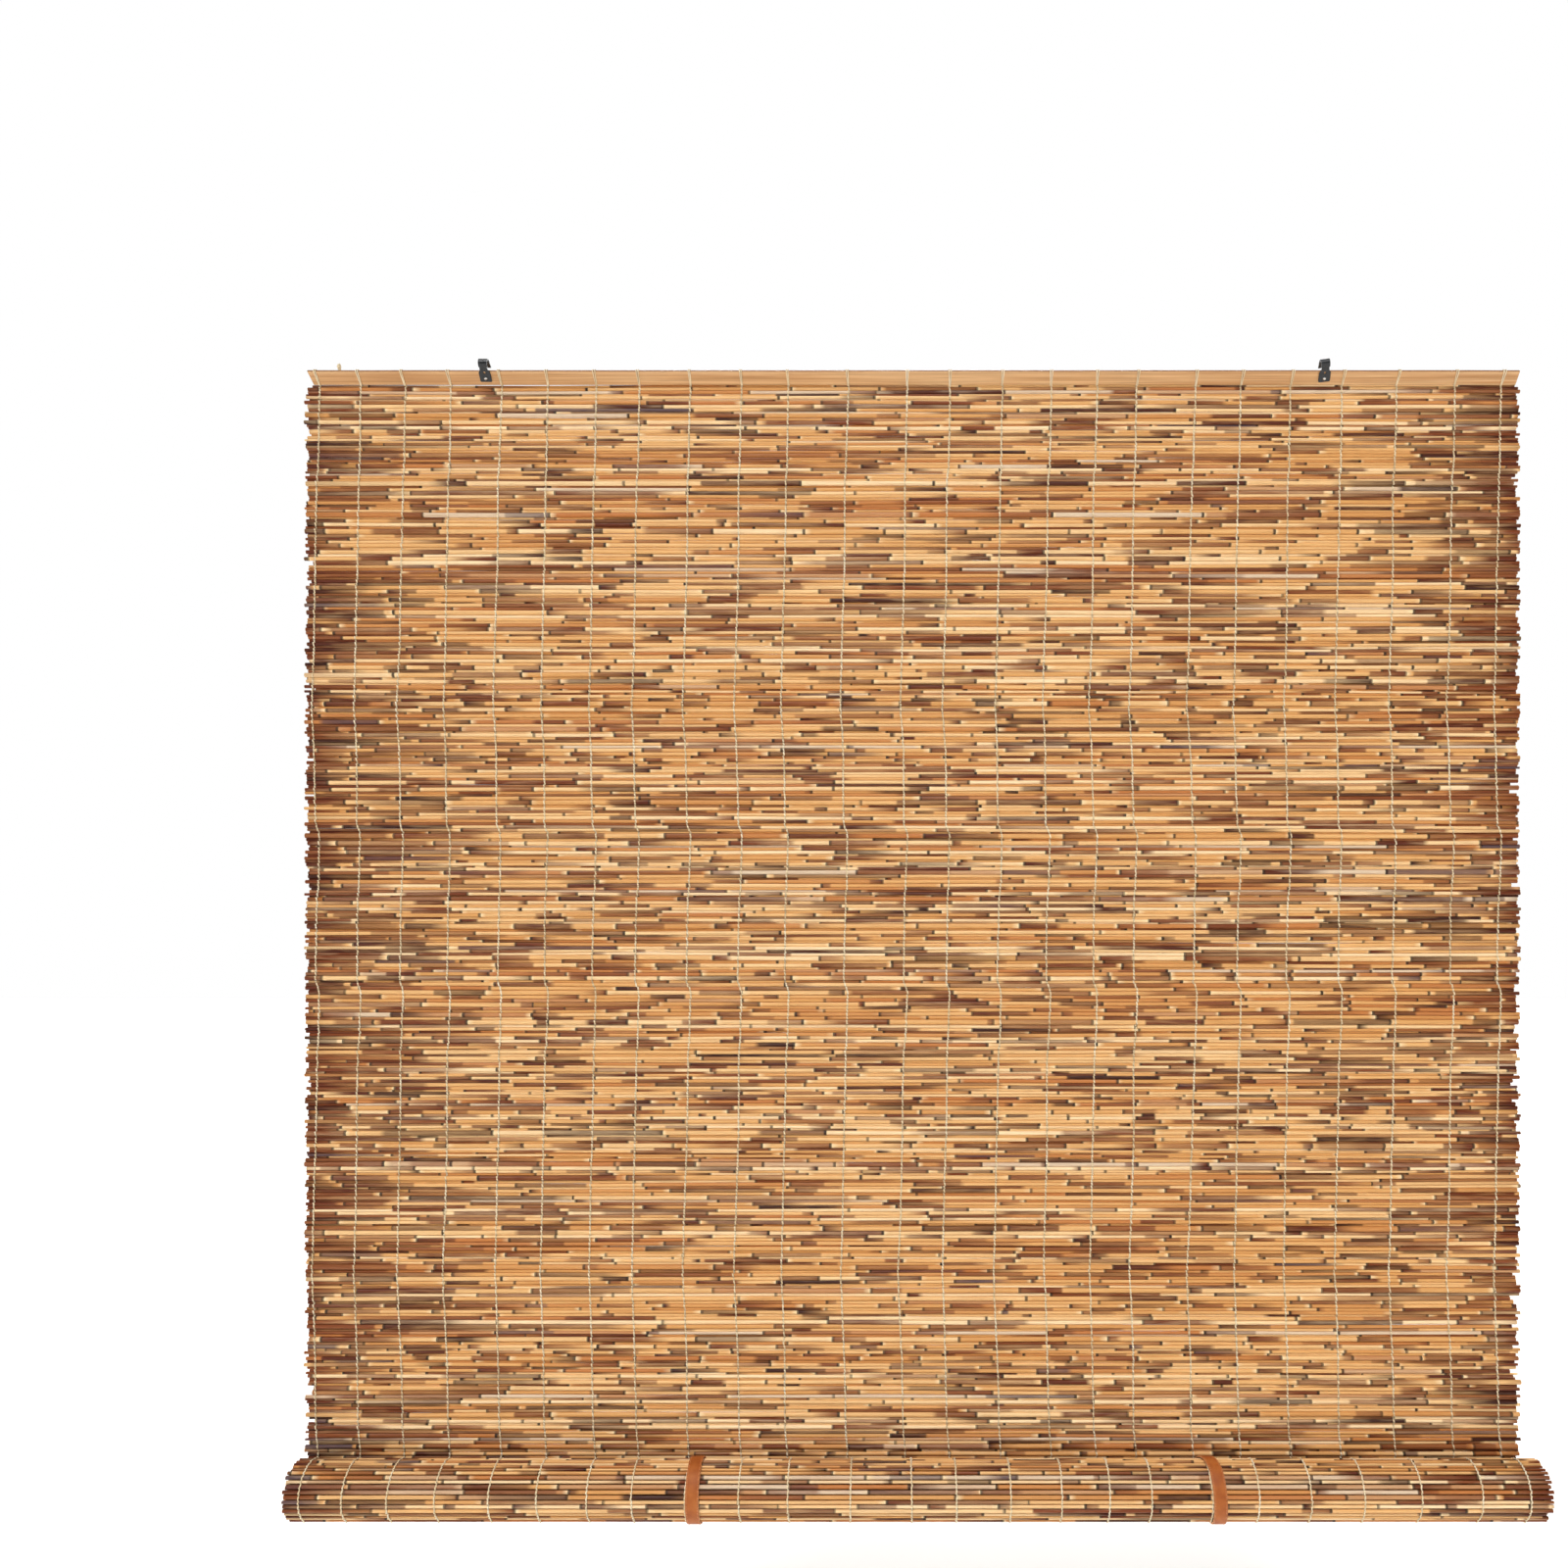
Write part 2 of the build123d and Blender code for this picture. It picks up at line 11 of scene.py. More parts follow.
import bpy
import numpy as np
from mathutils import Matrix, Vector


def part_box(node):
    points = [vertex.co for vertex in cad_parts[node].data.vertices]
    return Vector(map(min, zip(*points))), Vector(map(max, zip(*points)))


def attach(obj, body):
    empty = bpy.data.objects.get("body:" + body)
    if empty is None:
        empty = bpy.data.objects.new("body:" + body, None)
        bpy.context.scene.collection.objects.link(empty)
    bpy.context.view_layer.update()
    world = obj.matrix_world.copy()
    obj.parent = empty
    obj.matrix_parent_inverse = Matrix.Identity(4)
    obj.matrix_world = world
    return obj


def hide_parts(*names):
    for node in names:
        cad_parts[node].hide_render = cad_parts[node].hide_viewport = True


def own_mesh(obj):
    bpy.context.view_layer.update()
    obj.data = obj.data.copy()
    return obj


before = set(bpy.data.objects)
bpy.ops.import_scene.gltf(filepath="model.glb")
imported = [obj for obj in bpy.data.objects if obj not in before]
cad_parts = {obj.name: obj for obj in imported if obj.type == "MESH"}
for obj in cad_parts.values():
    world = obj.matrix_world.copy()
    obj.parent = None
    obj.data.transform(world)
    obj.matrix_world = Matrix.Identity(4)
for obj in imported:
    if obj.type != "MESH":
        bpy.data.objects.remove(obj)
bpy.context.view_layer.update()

MM = 0.001  # one millimetre in Blender's metres
print("nodes in the packed model:", len(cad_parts))

# %% [markdown]
# Makers of blinds think in millimetres, so the lesson does too, and multiplies by
# MM only when it makes a mesh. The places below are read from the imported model's
# boxes, so that a piece can't drift away from what it dresses.

# %% Read the main places
def box_mm(node):
    """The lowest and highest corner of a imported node, in millimetres."""
    low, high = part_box(node)
    return np.array(low) / MM, np.array(high) / MM


mat_low, mat_high = box_mm("hanging_reeds")
foot_low, foot_high = box_mm("foot_slat")
coil_low, coil_high = box_mm("rolled_reeds_outer")
slat_low, slat_high = box_mm("header_slat")
SLAT_MIDDLE = (slat_low + slat_high) / 2
MAT_Y = (mat_low[1] + mat_high[1]) / 2
AXIS_X, AXIS_Y, AXIS_Z = (foot_low + foot_high) / 2
REED_WIDTH = mat_high[1] - mat_low[1]
ROLL_RADIUS = AXIS_Z - coil_low[2] - REED_WIDTH / 2  # to the middle of the outer layer
HALF_MAT = mat_high[0]  # half of the mat's width
STRING_X = [sum(c[0] for c in box_mm(f"string_{n:02d}")) / 2 for n in range(1, 26)]
STRAP_X = {s: sum(c[0] for c in box_mm(f"strap_{s}")) / 2 for s in ("left", "right")}
print(f"mat at y {MAT_Y:.2f}, roll axis {AXIS_Y:.2f}, {AXIS_Z:.2f}, radius {ROLL_RADIUS:.2f}")
print("strings at", [round(x) for x in STRING_X], "straps at", STRAP_X)

# %% [markdown]
# The camera stands in front of the left half of the blind, at half its height,
# about 1.6 m away. A lens shift keeps the uprights upright, as a view camera
# does, instead of tilting the camera.

# %% Place the camera
SENSOR = 36.0
camera_data = bpy.data.cameras.new("camera")
camera_data.sensor_width = SENSOR
camera_data.lens = 28.35
camera_data.shift_x = -0.0819
camera_data.shift_y = 0.104
camera = bpy.data.objects.new("camera", camera_data)
camera.location = (0.0, -1.624, -0.7663)
camera.rotation_euler = (math.radians(90), 0.0, 0.0)
bpy.context.scene.collection.objects.link(camera)
bpy.context.scene.camera = camera
print("camera at", tuple(camera.location))

# %% [markdown]
# Colours are written as sRGB hex codes, as paint and dye charts give them.
# Blender's shaders want linear light, so one function turns one into the other.

# %% Turn a hex colour into linear light
def hex_colour(code):
    """'#RRGGBB' as linear red, green, blue and an alpha of 1."""
    values = [int(code[i : i + 2], 16) / 255 for i in (1, 3, 5)]
    linear = [v / 12.92 if v <= 0.04045 else ((v + 0.055) / 1.055) ** 2.4 for v in values]
    return (*linear, 1.0)


print("straw in linear light:", [round(v, 3) for v in hex_colour("#E9BF7F")])

# %% [markdown]
# A material is a small graph of nodes. One helper adds any node, sets its
# properties, and fills or links its inputs, so a recipe reads from top to bottom
# like a list of steps. A recipe gets the object's own coordinates, in metres, and
# returns the inputs of the shader.

# %% Add a node, make a material
FACTOR, COLOUR_A, COLOUR_B, MIXED = 0, 6, 7, 2  # sockets of a Mix node that mixes colours


def add_node(tree, kind, inputs=None, stops=None, **settings):
    """Add one node; an input is a value, another node's output, or a node for its first output."""
    made = tree.nodes.new(kind)
    for name, value in settings.items():
        setattr(made, name, value)
    for socket, value in (inputs or {}).items():
        if isinstance(value, bpy.types.Node):
            value = value.outputs[0]
        if isinstance(value, bpy.types.NodeSocket):
            tree.links.new(value, made.inputs[socket])
        else:
            made.inputs[socket].default_value = value
    if stops:
        elements = made.color_ramp.elements
        while len(elements) < len(stops):
            elements.new(0.5)
        for element, (position, code) in zip(elements, stops):
            element.position = position
            element.color = hex_colour(code)
    return made


def make_material(name, recipe, *choices):
    """A material whose recipe lays its nodes and says what goes into the shader."""
    material = bpy.data.materials.new(name)
    material.use_nodes = True
    tree = material.node_tree
    tree.nodes.clear()
    place = add_node(tree, "ShaderNodeTexCoord").outputs["Object"]
    shader = add_node(tree, "ShaderNodeBsdfPrincipled", recipe(tree, place, *choices))
    add_node(tree, "ShaderNodeOutputMaterial", {"Surface": shader})
    print("made", name, "with", len(tree.nodes), "nodes")
    return material


# %% [markdown]
# The reeds are common reed, a grass whose stalk is hollow, jointed every 8 to
# 20 cm and coated with a smooth, slightly waxy skin. Above each joint a leaf
# sheath kept the sun off or let damp in, so the stalk is dark there, chocolate,
# red brown or mauve grey, and fades to honey and straw. The last centimetre
# before the next joint is the palest. The mesh will say how dark, how golden and
# how near a joint each point is, in attributes, and the material turns them
# into colour. Fibres run along the stalk: streaks about 60 mm long and 1 mm wide.

# %% Recipe: dry river reed
REED_FIBRE = (1 / (60 * MM), 1 / (1.1 * MM), 1 / (1.1 * MM))  # streaks per metre
REED_CLOUD = (1 / (45 * MM), 1 / (5 * MM), 1 / (5 * MM))
STRAW_STOPS = (
    (0.00, "#FCDDAE"), (0.22, "#F3CA91"), (0.45, "#E9B575"), (0.62, "#DA9F5D"),
    (0.80, "#BE763D"), (0.92, "#C7976A"), (1.00, "#DFC6A8"),
)
DARK_STOPS = (
    (0.00, "#3C180A"), (0.28, "#5E260E"), (0.52, "#7E3E1B"), (0.74, "#8F5530"),
    (0.88, "#663C34"), (1.00, "#5E484A"),
)


def reed_recipe(tree, place):
    """Dry reed: satin skin, fibres along it, darker above each joint."""
    says = {
        name: add_node(tree, "ShaderNodeAttribute", attribute_name=name).outputs["Fac"]
        for name in ("dark", "dark_kind", "straw_kind", "joint", "tip", "pith")
    }
    fibre_place = add_node(
        tree, "ShaderNodeVectorMath", {0: place, 1: REED_FIBRE}, operation="MULTIPLY"
    )
    fibre = add_node(
        tree, "ShaderNodeTexNoise", {"Vector": fibre_place, "Scale": 1.0, "Detail": 3.0}
    )
    cloud_place = add_node(
        tree, "ShaderNodeVectorMath", {0: place, 1: REED_CLOUD}, operation="MULTIPLY"
    )
    cloud = add_node(
        tree, "ShaderNodeTexNoise", {"Vector": cloud_place, "Scale": 1.0, "Detail": 2.0}
    )
    straw = add_node(tree, "ShaderNodeValToRGB", {0: says["straw_kind"]}, stops=STRAW_STOPS)
    dark = add_node(tree, "ShaderNodeValToRGB", {0: says["dark_kind"]}, stops=DARK_STOPS)
    streak = add_node(tree, "ShaderNodeMapRange", {0: fibre, 1: 0.42, 2: 0.70, 3: 0.0, 4: 0.38})
    tanned = add_node(
        tree, "ShaderNodeMix", {FACTOR: streak, COLOUR_A: straw, COLOUR_B: hex_colour("#A8672F")},
        data_type="RGBA",
    )
    patch = add_node(tree, "ShaderNodeMapRange", {0: cloud, 1: 0.35, 2: 0.65, 3: -0.16, 4: 0.16})
    darkness = add_node(
        tree, "ShaderNodeMath", {0: says["dark"], 1: patch, 2: says["dark"]},
        operation="MULTIPLY_ADD", use_clamp=True,
    )
    skin = add_node(
        tree, "ShaderNodeMix", {FACTOR: darkness, COLOUR_A: tanned.outputs[MIXED], COLOUR_B: dark},
        data_type="RGBA",
    )
    layers = (("tip", "#F8DDAC"), ("joint", "#241004"), ("pith", "#DDC196"))
    colour = skin.outputs[MIXED]
    for name, code in layers:
        laid = add_node(
            tree, "ShaderNodeMix",
            {FACTOR: says[name], COLOUR_A: colour, COLOUR_B: hex_colour(code)}, data_type="RGBA",
        )
        colour = laid.outputs[MIXED]
    gloss = add_node(tree, "ShaderNodeMapRange", {0: fibre, 1: 0.3, 2: 0.7, 3: 0.36, 4: 0.56})
    bump = add_node(
        tree, "ShaderNodeBump", {"Height": fibre, "Strength": 0.35, "Distance": 0.25 * MM}
    )
    return {
        "Base Color": colour, "Roughness": gloss, "Normal": bump,
        "IOR": 1.5, "Specular IOR Level": 0.25,
    }


REED = make_material("dry_river_reed", reed_recipe)

# %% [markdown]
# A reed is a long tube with one ring of points wherever something changes: at a
# joint, where the dark stretch ends, where the pale tip starts, and at the cut
# ends, which are hollow. A ring that would look the same as its neighbours is left
# out. Meshes this long are made straight from arrays of numbers, because a
# modifier for each of 400 reeds would be slow.

# %% Describe the skin along one reed
SIDES = 8
END_RIM = 0.4  # mm of skin that a cut darkens
HOLLOW = 0.58  # share of the reed's radius that is hollow
HOLLOW_DEPTH = 6.0
SAME = (0.03, 0.06, 1.0, 1.0, 0.11, 0.11, 1.0)  # swelling and SKIN values that look alike
STRETCH_VARIES = (0.82, 1.18)  # one stretch between joints, as a share of the reed's usual one
FADES, FADE_ODDS = (1.5, 4.0, 14.0), (0.45, 0.30, 0.25)  # mm over which the dark ends
EDGE_FADE = 90  # mm in from the mat's edge over which reeds darken: painted shade for the light falling off towards the edges, and weathered reed ends
MOST_DARK = 0.94  # share of a stretch that dark can cover
TIP_LENGTHS = (5.0, 13.0)  # mm of pale skin before a joint
TIP_PALENESS = (0.1, 0.4, 0.8)
SKIN = ("dark", "dark_kind", "straw_kind", "joint", "tip", "pith")


def bundle_shade(x, z):
    """How dark a bundle was where this reed was laid: slow patches over the mat, -1 to 1."""
    waves = (
        (0.0121, 0.093, 0.4), (-0.0087, 0.071, 2.1), (0.0231, 0.048, 4.0),
        (0.0173, -0.121, 1.3), (-0.0291, 0.063, 5.2),
    )
    return sum(math.sin(a * x + b * z + c) for a, b, c in waves) / 3.0


def skin_rings(rng, left, right, height, phase, spacing, forward, tone):
    """One row per ring: x, swelling, then the SKIN values, from left to right."""
    rings = []
    node = left - phase
    while node < right:
        length = spacing * rng.uniform(*STRETCH_VARIES)
        shade = bundle_shade(node, height)
        from_left = (node - left) if forward else (right - node)
        from_right = right - left - from_left
        # painted shade: darker towards the mat's edges, more at the left, where the light falls
        # off; weathered reed ends add to it
        edge_shade_and_weathering = 0.5 * math.exp(-from_left / EDGE_FADE) + 0.3 * math.exp(-from_right / EDGE_FADE)
        share = rng.beta(1.3, 2.0) * (0.95 + 0.5 * shade) + edge_shade_and_weathering
        kind = rng.random()
        if kind < 0.16 - 0.1 * shade - edge_shade_and_weathering:
            share = 0.0
        elif kind > 0.95:
            share = 1.0
        share = min(max(share, 0.0), MOST_DARK)
        strong = rng.uniform(0.62, 1.0) if share > 0.04 else 0.0
        ring = rng.uniform(0.55, 1.0)
        dark_kind = float(np.clip(rng.normal(0.40 + 0.30 * (tone > 0.9), 0.24), 0, 1))
        straw_kind = float(np.clip(tone + rng.normal(0, 0.13), 0, 1))
        fade = rng.choice(FADES, p=FADE_ODDS)
        end = max(length * share, 3.0 + fade)
        tip = rng.uniform(*TIP_LENGTHS)
        pale = rng.choice(TIP_PALENESS)
        plan = (
            (1.4, 1.08, strong, ring, 0.0),
            (3.2, 1.02, strong, 0.1, 0.0),
            (end - fade, 1.0, strong * rng.uniform(0.65, 1.0), 0.0, 0.0),
            (end + fade, 0.99, 0.0, 0.0, 0.0),
            (length - tip, 0.99, 0.0, 0.0, 0.0),
            (length - 1.9, 1.03, 0.0, 0.0, pale),
            (length - 1.0, 1.08, 0.0, ring, pale),
        )
        last = -1.0
        for offset, swell, dark, joint, light in plan:
            offset = min(max(offset, last + 0.3), length - 0.2)
            rings.append((node + offset, swell, dark, dark_kind, straw_kind, joint, light, 0.0))
            last = offset
        node += length
    table = np.array(rings)
    if not forward:
        table = table[::-1].copy()
        table[:, 0] = left + right - table[:, 0]
    return table


def telling(table):
    """The rings that say something their neighbours don't, to keep the mesh light."""
    before, ring, after = table[:-2], table[1:-1], table[2:]
    share = ((ring[:, 0] - before[:, 0]) / (after[:, 0] - before[:, 0]))[:, None]
    guess = before + share * (after - before)
    same = (np.abs(guess - ring)[:, 1:] < SAME).all(axis=1)
    same[1:] &= ~same[:-1]
    return table[np.concatenate([[True], ~same, [True]])]


def closed_rings(table, left, right):
    """Cut the skin at both ends and add the hollow ends, with painted shade at the bottom of each
    hollow.
    """
    table = telling(table)
    inside = table[(table[:, 0] > left + 2 * END_RIM) & (table[:, 0] < right - 2 * END_RIM)]

    def at(x, **changes):
        row = np.array([np.interp(x, table[:, 0], table[:, c]) for c in range(table.shape[1])])
        row[0] = x
        row[1] = changes.get("swell", 1.0)
        row[2] = min(1.0, row[2] + changes.get("darker", 0.0))
        row[7] = changes.get("pith", 0.0)
        return row

    def end(x, inward):
        # painted shade: the bottom of each hollow gets the full dark colour, as shade inside the
        # tube
        return [
            at(x + inward * HOLLOW_DEPTH, swell=HOLLOW * 0.9, darker=1.0),
            at(x, swell=HOLLOW, pith=1.0),
            at(x, swell=0.97, pith=1.0),
            at(x + inward * END_RIM, darker=0.35),
        ]

    return np.array([*end(left, 1), *inside, *end(right, -1)[::-1]])


print("values kept at each ring:", SKIN)

# %% [markdown]
# Everything long here is a tube: a reed, a string, a stitch. These helpers make its
# faces from rings of points and give it a UV map in which each tube is one strip,
# so a baked copy of the colours stays sharp.

# %% Make tubes and their UV map
STATIONS = np.linspace(-HALF_MAT - 20, HALF_MAT + 20, 43)


def mesh_object(name, points, faces, material):
    """A mesh object from points in millimetres."""
    mesh = bpy.data.meshes.new(name)
    mesh.from_pydata((np.asarray(points) * MM).tolist(), [], faces)
    mesh.polygons.foreach_set("use_smooth", [True] * len(mesh.polygons))
    mesh.materials.append(material)
    made = bpy.data.objects.new(name, mesh)
    bpy.context.scene.collection.objects.link(made)
    return made


def tube_faces(rings, sides, start):
    """Quads between rings of points, and a face over each end."""
    ring, side = np.meshgrid(np.arange(rings - 1), np.arange(sides), indexing="ij")
    after = (side + 1) % sides
    quads = np.stack(
        [
            ring * sides + side, ring * sides + after,
            (ring + 1) * sides + after, (ring + 1) * sides + side,
        ],
        axis=-1,
    ).reshape(-1, 4) + start
    first = [start + side for side in reversed(range(sides))]
    last = [start + (rings - 1) * sides + side for side in range(sides)]
    return quads.tolist() + [first, last]


def strip_corners(along, sides, low, tall):
    """UV corners of a tube laid flat as one strip, and of the discs at its two ends."""
    ring, side = np.meshgrid(np.arange(len(along) - 1), np.arange(sides), indexing="ij")
    ring, side = ring.ravel(), side.ravel()
    u = np.stack([along[ring], along[ring], along[ring + 1], along[ring + 1]], 1)
    v = low + tall / sides * np.stack([side, side + 1, side + 1, side], 1)
    angle = 2 * np.pi * np.arange(sides) / sides
    discs = [
        np.stack([edge + 0.0015 * np.cos(angle), low + tall * (0.5 + 0.4 * np.sin(angle))], 1)
        for edge in (along[0] - 0.003, along[-1] + 0.003)
    ]
    return np.concatenate([np.stack([u, v], -1).reshape(-1, 2), *discs])


def tubes_piece(name, tubes, material):
    """One piece of many tubes, each given as its rings of points and their places on its strip."""
    faces, uv, start = [], [], 0
    for number, (rings, along) in enumerate(tubes):
        count, sides = rings.shape[:2]
        faces += tube_faces(count, sides, start)
        uv.append(strip_corners(along, sides, (number + 0.06) / len(tubes), 0.88 / len(tubes)))
        start += count * sides
    points = np.concatenate([rings.reshape(-1, 3) for rings, _ in tubes])
    made = mesh_object(name, points, faces, material)
    layer = made.data.uv_layers.new(name="OFBake")
    layer.uv.foreach_set("vector", np.concatenate(uv).astype(np.float32).ravel())
    print(name, "tubes", len(tubes), "faces", len(faces))
    return made


def add_values(made, name, values):
    """Give each point of a mesh a number that its material can read."""
    attribute = made.data.attributes.new(name, "FLOAT", "POINT")
    attribute.data.foreach_set("value", np.asarray(values, np.float32).ravel())


print("stations across the mat:", len(STATIONS))

# %% [markdown]
# `lay_reeds` turns rows of reeds into one mesh. Each reed follows its own slightly bent line, given
# at stations across the mat. Neighbours often come from one bundle, so a reed's joints and its way
# round start from the last one's.

# %% Turn rows of reeds into one mesh
FIRST_HABIT = (60.0, 150.0, True)  # phase and spacing of the joints in mm, and the way round
TONES, TONE_ODDS = (0.12, 0.34, 0.48, 0.60, 0.78, 0.93), (0.17, 0.27, 0.26, 0.18, 0.08, 0.04)


def next_habit(rng, phase, spacing, forward):
    """Phase and spacing of the next reed's joints, and its way round."""
    phase = rng.uniform(0, 150) if rng.random() < 0.35 else phase + rng.normal(0, 20)
    spacing = float(np.clip(spacing + rng.normal(0, 26), 88, 205))
    spacing = rng.uniform(95, 200) if rng.random() < 0.3 else spacing
    forward = forward if rng.random() < 0.6 else not forward
    return phase, spacing, forward


def lay_reeds(
    name, rng, y, z, width, ends, sides=SIDES, shift=None, heights=None, seen=HALF_MAT
):
    """Reeds through y and z at the stations, with that width; plain further in than is seen."""
    tubes, flat = [], []
    values = {key: [] for key in SKIN}
    habit = FIRST_HABIT
    angles = 2 * np.pi * np.arange(sides) / sides
    longest = 2 * (HALF_MAT + 40) + 280  # mm of reed, and 2 for each ring
    for row in range(len(y)):
        left, right = ends[row]
        habit = next_habit(rng, *habit)
        phase, spacing, forward = habit
        tone = float(np.clip(rng.choice(TONES, p=TONE_ODDS) + rng.normal(0, 0.06), 0, 1))
        height = heights[row] if heights is not None else z[row].mean()
        first_joint = phase % spacing + 10
        skin = skin_rings(rng, left, right, height, first_joint, spacing, forward, tone)
        table = closed_rings(skin, left, right)
        table = table[(table[:, 0] < left + seen) | (table[:, 0] > right - seen)]
        offset = 0.0 if shift is None else shift[row]
        x = table[:, 0]
        radius = np.interp(x, STATIONS, width[row]) / 2 * table[:, 1]
        middle_y = np.interp(x, STATIONS, y[row])
        middle_z = np.interp(x, STATIONS, z[row])
        ring = np.empty((len(x), sides, 3))
        ring[..., 0] = x[:, None] + offset
        ring[..., 1] = middle_y[:, None] + radius[:, None] * np.cos(angles)
        ring[..., 2] = middle_z[:, None] + radius[:, None] * np.sin(angles)
        strip = np.concatenate([[0], np.cumsum(np.abs(np.diff(x)) + 2.0)])
        tubes.append((ring, 0.006 + strip / longest))
        cuts = np.zeros((len(x) - 1) * sides + 2, bool)  # the flat faces round both openings
        for first in (1, len(x) - 3):
            cuts[first * sides : (first + 1) * sides] = True
        flat.append(cuts)
        for column, key in enumerate(SKIN, start=2):
            values[key].append(np.repeat(table[:, column], sides))
    made = tubes_piece(name, tubes, REED)
    made.data.polygons.foreach_set("use_smooth", ~np.concatenate(flat))
    for key in SKIN:
        add_values(made, key, np.concatenate(values[key]))
    return made


# %% [markdown]
# Real reeds are 3 to 7 mm thick, taper from butt to tip, and lie as close as the
# strings pull them, so neighbours are never quite parallel. The stack is built the
# same way: thicknesses first, then heights added up from them at every station.
# The sum would wander by centimetres over 340 reeds, where the strings keep the
# real mat even, so its slow part is taken out again.

# %% Stack the hanging reeds
STRAP_RISE = 22.97  # above the roll's axis, where the straps pass through the mat
STRAP_SLOT = 2.3  # the gap that they leave between two reeds
WINDOW = 21  # reeds over which the wander is levelled
PLENTY = 400  # more reeds than the hanging stretch needs
USUAL_WIDTH, THINNEST, THICKEST, DEPTH = 4.75, 3.0, 6.6, 1.0  # mm
FIRST_WIDTH, FIRST_DEPTHS = 4.4, (1.35, 0.3)  # the top reeds, which the slat presses back
LOWER_REEDS = 4  # below the straps' way through the mat
STRAP_PULL = 90  # mm beside a strap over which the slot closes again
mat_rng = np.random.default_rng(7)


def reed_widths(rng, count, usual):
    """Thickness of each reed at each station."""
    base = np.clip(usual * rng.lognormal(0, 0.21, count), THINNEST, THICKEST)
    taper = rng.uniform(-0.2, 0.2, count)
    wave = rng.uniform(0, 2 * np.pi, count)
    run = STATIONS / HALF_MAT
    swell = 0.06 * np.sin(run[None, :] * rng.uniform(5, 14, count)[:, None] + wave[:, None])
    return base[:, None] * (1 + taper[:, None] * run[None, :] + swell)


def reed_depths(rng, count, most):
    """How far each reed sits in front of or behind the mat's plane."""
    turn = np.where(rng.random(count) < 0.94, -1, 1)
    return (np.cumprod(turn) * rng.uniform(0.4, 1.0, count) * most)[:, None]


def touching(width, depth):
    """Height between neighbours that touch, when one sits in front of the other."""
    reach = (width[1:] + width[:-1]) / 2
    apart = np.abs(depth[1:] - depth[:-1])
    facet = math.pi / SIDES  # the mesh is a little thinner between its corners
    reach = reach * math.cos(facet) / np.cos(facet - np.arcsin(apart / reach))
    return np.sqrt(reach**2 - apart**2)


def stacked(width, depth, top, bottom):
    """Heights of reeds laid one under another from top to bottom, at each station."""
    middle = np.cumsum(np.concatenate([width[:1] / 2, touching(width, depth)]), axis=0)
    whole = (middle[-1] + width[-1] / 2).mean()
    level = middle.mean(axis=1, keepdims=True)
    wander = middle - level
    kernel = np.ones(min(WINDOW, len(wander)))
    weight = np.convolve(np.ones(len(wander)), kernel, "same")
    slow = np.stack([np.convolve(w, kernel, "same") / weight for w in wander.T], axis=1)
    scale = (top - bottom) / whole
    height = top - level * scale - (wander - slow) * scale
    fill = -np.diff(height, axis=0) / touching(width * scale, depth)
    fill = (np.concatenate([fill[:1], fill]) + np.concatenate([fill, fill[-1:]])) / 2
    return height, width * scale * fill


def ragged_ends(rng, count, most=7.0):
    """Where each reed was cut: a few millimetres short of the edge, some more."""
    short = rng.uniform(0, most, (count, 2))
    broken = rng.random((count, 2)) < 0.07
    short[broken] = rng.uniform(7, 16, broken.sum())
    return np.stack([-HALF_MAT + short[:, 0], HALF_MAT - short[:, 1]], axis=1)


upper_top = slat_low[2] + 1.6  # the first reed tucks in behind the slat's edge
upper_bottom = AXIS_Z + STRAP_RISE + STRAP_SLOT / 2
lower_top = AXIS_Z + STRAP_RISE - STRAP_SLOT / 2
lower_bottom = mat_low[2]
drawn = reed_widths(mat_rng, PLENTY, USUAL_WIDTH)
depth = reed_depths(mat_rng, PLENTY, DEPTH)
reach = np.cumsum(touching(drawn, depth).mean(axis=1))
count = int(np.searchsorted(reach, upper_top - upper_bottom)) + 1
drawn[0] *= FIRST_WIDTH / drawn[0].mean()
depth[:2, 0] = FIRST_DEPTHS
upper_z, upper_width = stacked(drawn[:count], depth[:count], upper_top, upper_bottom)
lower_z, lower_width = stacked(
    reed_widths(mat_rng, LOWER_REEDS, REED_WIDTH), np.zeros((LOWER_REEDS, 1)),
    lower_top, lower_bottom,
)
beside_strap = sum(np.exp(-(((STATIONS - x) / STRAP_PULL) ** 2)) for x in STRAP_X.values())
lower_z = lower_z + (STRAP_SLOT - 0.15) * (1 - beside_strap)  # away from them the slot closes
rest_z = np.concatenate([upper_z, lower_z])
rest_width = np.concatenate([upper_width, lower_width])
rest_y = np.concatenate([depth[:count], np.zeros((LOWER_REEDS, 1))]) + MAT_Y
bend = mat_rng.uniform(0, 6, (len(rest_z), 1))
rest_y = rest_y + 0.12 * np.sin(STATIONS[None, :] / 90 + bend)
rest_ends = ragged_ends(mat_rng, len(rest_z))
print("hanging reeds:", len(rest_z), "mean thickness", round(float(rest_width.mean()), 2), "mm")

# %% [markdown]
# The mat is soft: as the blind is rolled up, its hanging stretch gets shorter. Here its pieces hang
# from the header. Four pieces keep each mesh light.

# %% Lay the hanging reeds
PIECES = 4


def hang(piece):
    """The piece hangs from the header."""
    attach(piece, "header")
    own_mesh(piece)


for number, rows in enumerate(np.array_split(np.arange(len(rest_z)), PIECES), start=1):
    band = lay_reeds(
        f"hanging_reeds_{number}", mat_rng,
        rest_y[rows], rest_z[rows], rest_width[rows], rest_ends[rows],
    )
    hang(band)
    if number == 1:
        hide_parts("hanging_reeds")

# %% [markdown]
# The roll is the same mat, wound on the foot slat. Each layer is a circle with a
# step inwards at the back. The reeds are placed along that line by their
# thickness, as the real mat brings them round. Of the inner layers only the ends
# show, so their reeds are plain further in.

